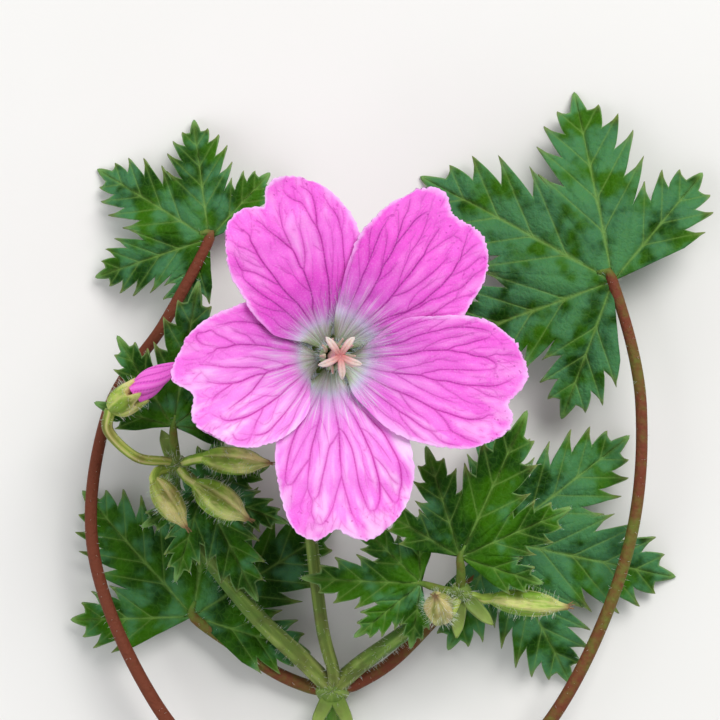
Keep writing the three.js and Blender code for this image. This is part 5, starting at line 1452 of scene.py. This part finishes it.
def stigma_paint():
    """Salmon pink at the heart, cream towards the tips, with fine broken lines along the grooves."""
    paint = Paint("stigma_flesh", Subsurface_Weight=0.15, Subsurface_Scale=0.4 * MM, Specular_IOR_Level=0.3)
    along, groove = paint.held("along", "groove")
    flesh = paint.ramp(along, (0.0, colour(196, 100, 106)), (0.2, colour(208, 136, 134)),
                       (0.5, colour(220, 184, 178)), (0.85, colour(222, 216, 204)),
                       (1.0, colour(222, 222, 208)))
    flecks = paint.step(paint.noise(0.35, 1.0), 0.45, 0.6)
    flesh = paint.mix(groove * (0.1 + flecks * 0.35), flesh, colour(190, 138, 126))
    grain = paint.noise(0.12)
    return paint.finish(Base_Color=flesh, Roughness=0.5 + grain * 0.2, Normal=paint.bump(grain, 0.06))


def filament_paint():
    """Pale green filaments, flushed pink towards their tips."""
    paint = Paint("filament_thread", Subsurface_Weight=0.1, Subsurface_Scale=0.4 * MM)
    [along] = paint.held("along")
    flesh = paint.ramp(along, (0.0, colour(170, 186, 134)), (0.35, colour(200, 208, 176)),
                       (0.8, colour(214, 206, 182)), (1.0, colour(206, 186, 166)))
    grain = paint.noise(0.2)
    return paint.finish(Base_Color=flesh, Roughness=0.5 + grain * 0.2, Normal=paint.bump(grain, 0.04))


def hair_paint(name, shade, other):
    """Thin glassy hairs, a little uneven in colour."""
    paint = Paint(name, Specular_IOR_Level=0.5, Subsurface_Weight=0.2, Subsurface_Scale=0.2 * MM)
    tone = paint.mix(paint.noise(2.0), shade, other)
    return paint.finish(Base_Color=tone, Roughness=0.35 + paint.noise(1.0) * 0.2)


def table_paint():
    """Plain warm white."""
    paint = Paint("table_top", Roughness=0.8, Specular_IOR_Level=0.2)
    shade = paint.mix(paint.noise(40.0), colour(232, 231, 227), colour(238, 237, 234))
    return paint.finish(Base_Color=shade)


# ---------------------------------------------------------------- the plant


petal_tissue = petal_paint()
leaf_blade = leaf_paint()
bud_skin = bud_paint("bud_skin", colour(112, 158, 34), colour(174, 210, 78), colour(232, 224, 152),
                     colour(88, 104, 20))
stem_skin = bud_paint("stem_skin", colour(70, 118, 28), colour(112, 152, 54), colour(150, 176, 92),
                      colour(60, 94, 24))

for name, petal in PETALS.items():
    make_petal(name, petal, petal_tissue)
make_pistil(stigma_paint())
make_stamens(filament_paint())

leaf_hairs, bud_hairs, stem_hairs, petal_hairs = Shell(), Shell(), Shell(), Shell()
add_tube_hairs(stem_hairs, *make_calyx(stem_skin), *FLOWER_STALK_HAIRS, np.random.default_rng(3))
for seed, (name, leaf) in enumerate(LEAVES.items(), 100):
    make_leaf(name, leaf, leaf_blade, seed, leaf_hairs)
for seed, (name, bud) in enumerate(BUDS.items(), 200):
    make_bud(name, bud, bud_skin, bud_hairs, seed)
make_opening_bud(bud_skin, petal_tissue, bud_hairs)
make_stem(stem_skin, stem_hairs)
add_petal_hairs(petal_hairs)

white_hair = hair_paint("white_hair", colour(222, 226, 208), colour(240, 242, 232))
leaf_hairs.piece("hairs_on_leaves", white_hair, "leaf")
bud_hairs.piece("hairs_on_buds", white_hair, "bud")
stem_hairs.piece("hairs_on_stem", white_hair, "stem")
pale_hair = hair_paint("petal_hair", colour(206, 214, 224), colour(232, 238, 242))
petal_hairs.piece("hairs_on_petals", pale_hair, "petal")


# ---------------------------------------------------------------- table, light and camera

TABLE_DROP = 0.05  # mm below the plant
TABLE_HALF = 1500.0

table = bpy.data.meshes.new("table")
corners = np.array([(-1, -1, 0), (1, -1, 0), (1, 1, 0), (-1, 1, 0)]) * TABLE_HALF - [0, 0, TABLE_DROP]
table.from_pydata((corners * MM).tolist(), [], [(0, 1, 2, 3)])
table.materials.append(table_paint())
floor = bpy.data.objects.new("table", table)
bpy.context.scene.collection.objects.link(floor)

VIEW_CENTRE = np.array([2.97, 47.59, 24.0])  # the middle of the view, at the petals' height
VIEW_WIDTH = 73.8  # mm that the view spans there
LENS, SENSOR = 200.0, 36.0

camera_data = bpy.data.cameras.new("camera")
camera_data.lens, camera_data.sensor_width = LENS, SENSOR
camera_data.clip_start = 0.01
camera = bpy.data.objects.new("camera", camera_data)
camera.location = (VIEW_CENTRE + [0, 0, VIEW_WIDTH * LENS / SENSOR]) * MM
bpy.context.scene.collection.objects.link(camera)
bpy.context.scene.camera = camera


def soft_light(name, place, aim, size, power, tint):
    """A square panel of light at a place, facing a point."""
    data = bpy.data.lights.new(name, "AREA")
    data.size, data.energy, data.color = size * MM, power, tint
    light = bpy.data.objects.new(name, data)
    place, aim = np.array(place) * MM, np.array(aim) * MM
    light.location = place
    back = unit(place - aim)
    side = unit(np.cross([0.0, 0.0, 1.0], back)) if abs(back[2]) < 0.999 else np.array([1.0, 0, 0])
    matrix = np.stack([side, np.cross(back, side), back], 1)
    light.rotation_euler = Matrix(matrix.tolist()).to_euler()
    bpy.context.scene.collection.objects.link(light)


WARM, COOL = (1.0, 0.99, 0.98), (0.95, 0.97, 1.0)
SKY_STRENGTH = 0.42
soft_light("key", (430, 690, 900), (0, 45, 20), size=700, power=11.6, tint=WARM)
soft_light("fill", (-700, -300, 700), (0, 40, 15), size=900, power=3.6, tint=COOL)

sky = bpy.data.worlds.new("sky")
sky.use_nodes = True
background = sky.node_tree.nodes["Background"].inputs
background["Color"].default_value = (*COOL, 1.0)
background["Strength"].default_value = SKY_STRENGTH
bpy.context.scene.world = sky
bpy.context.scene.view_settings.view_transform = "Standard"

bpy.context.view_layer.update()
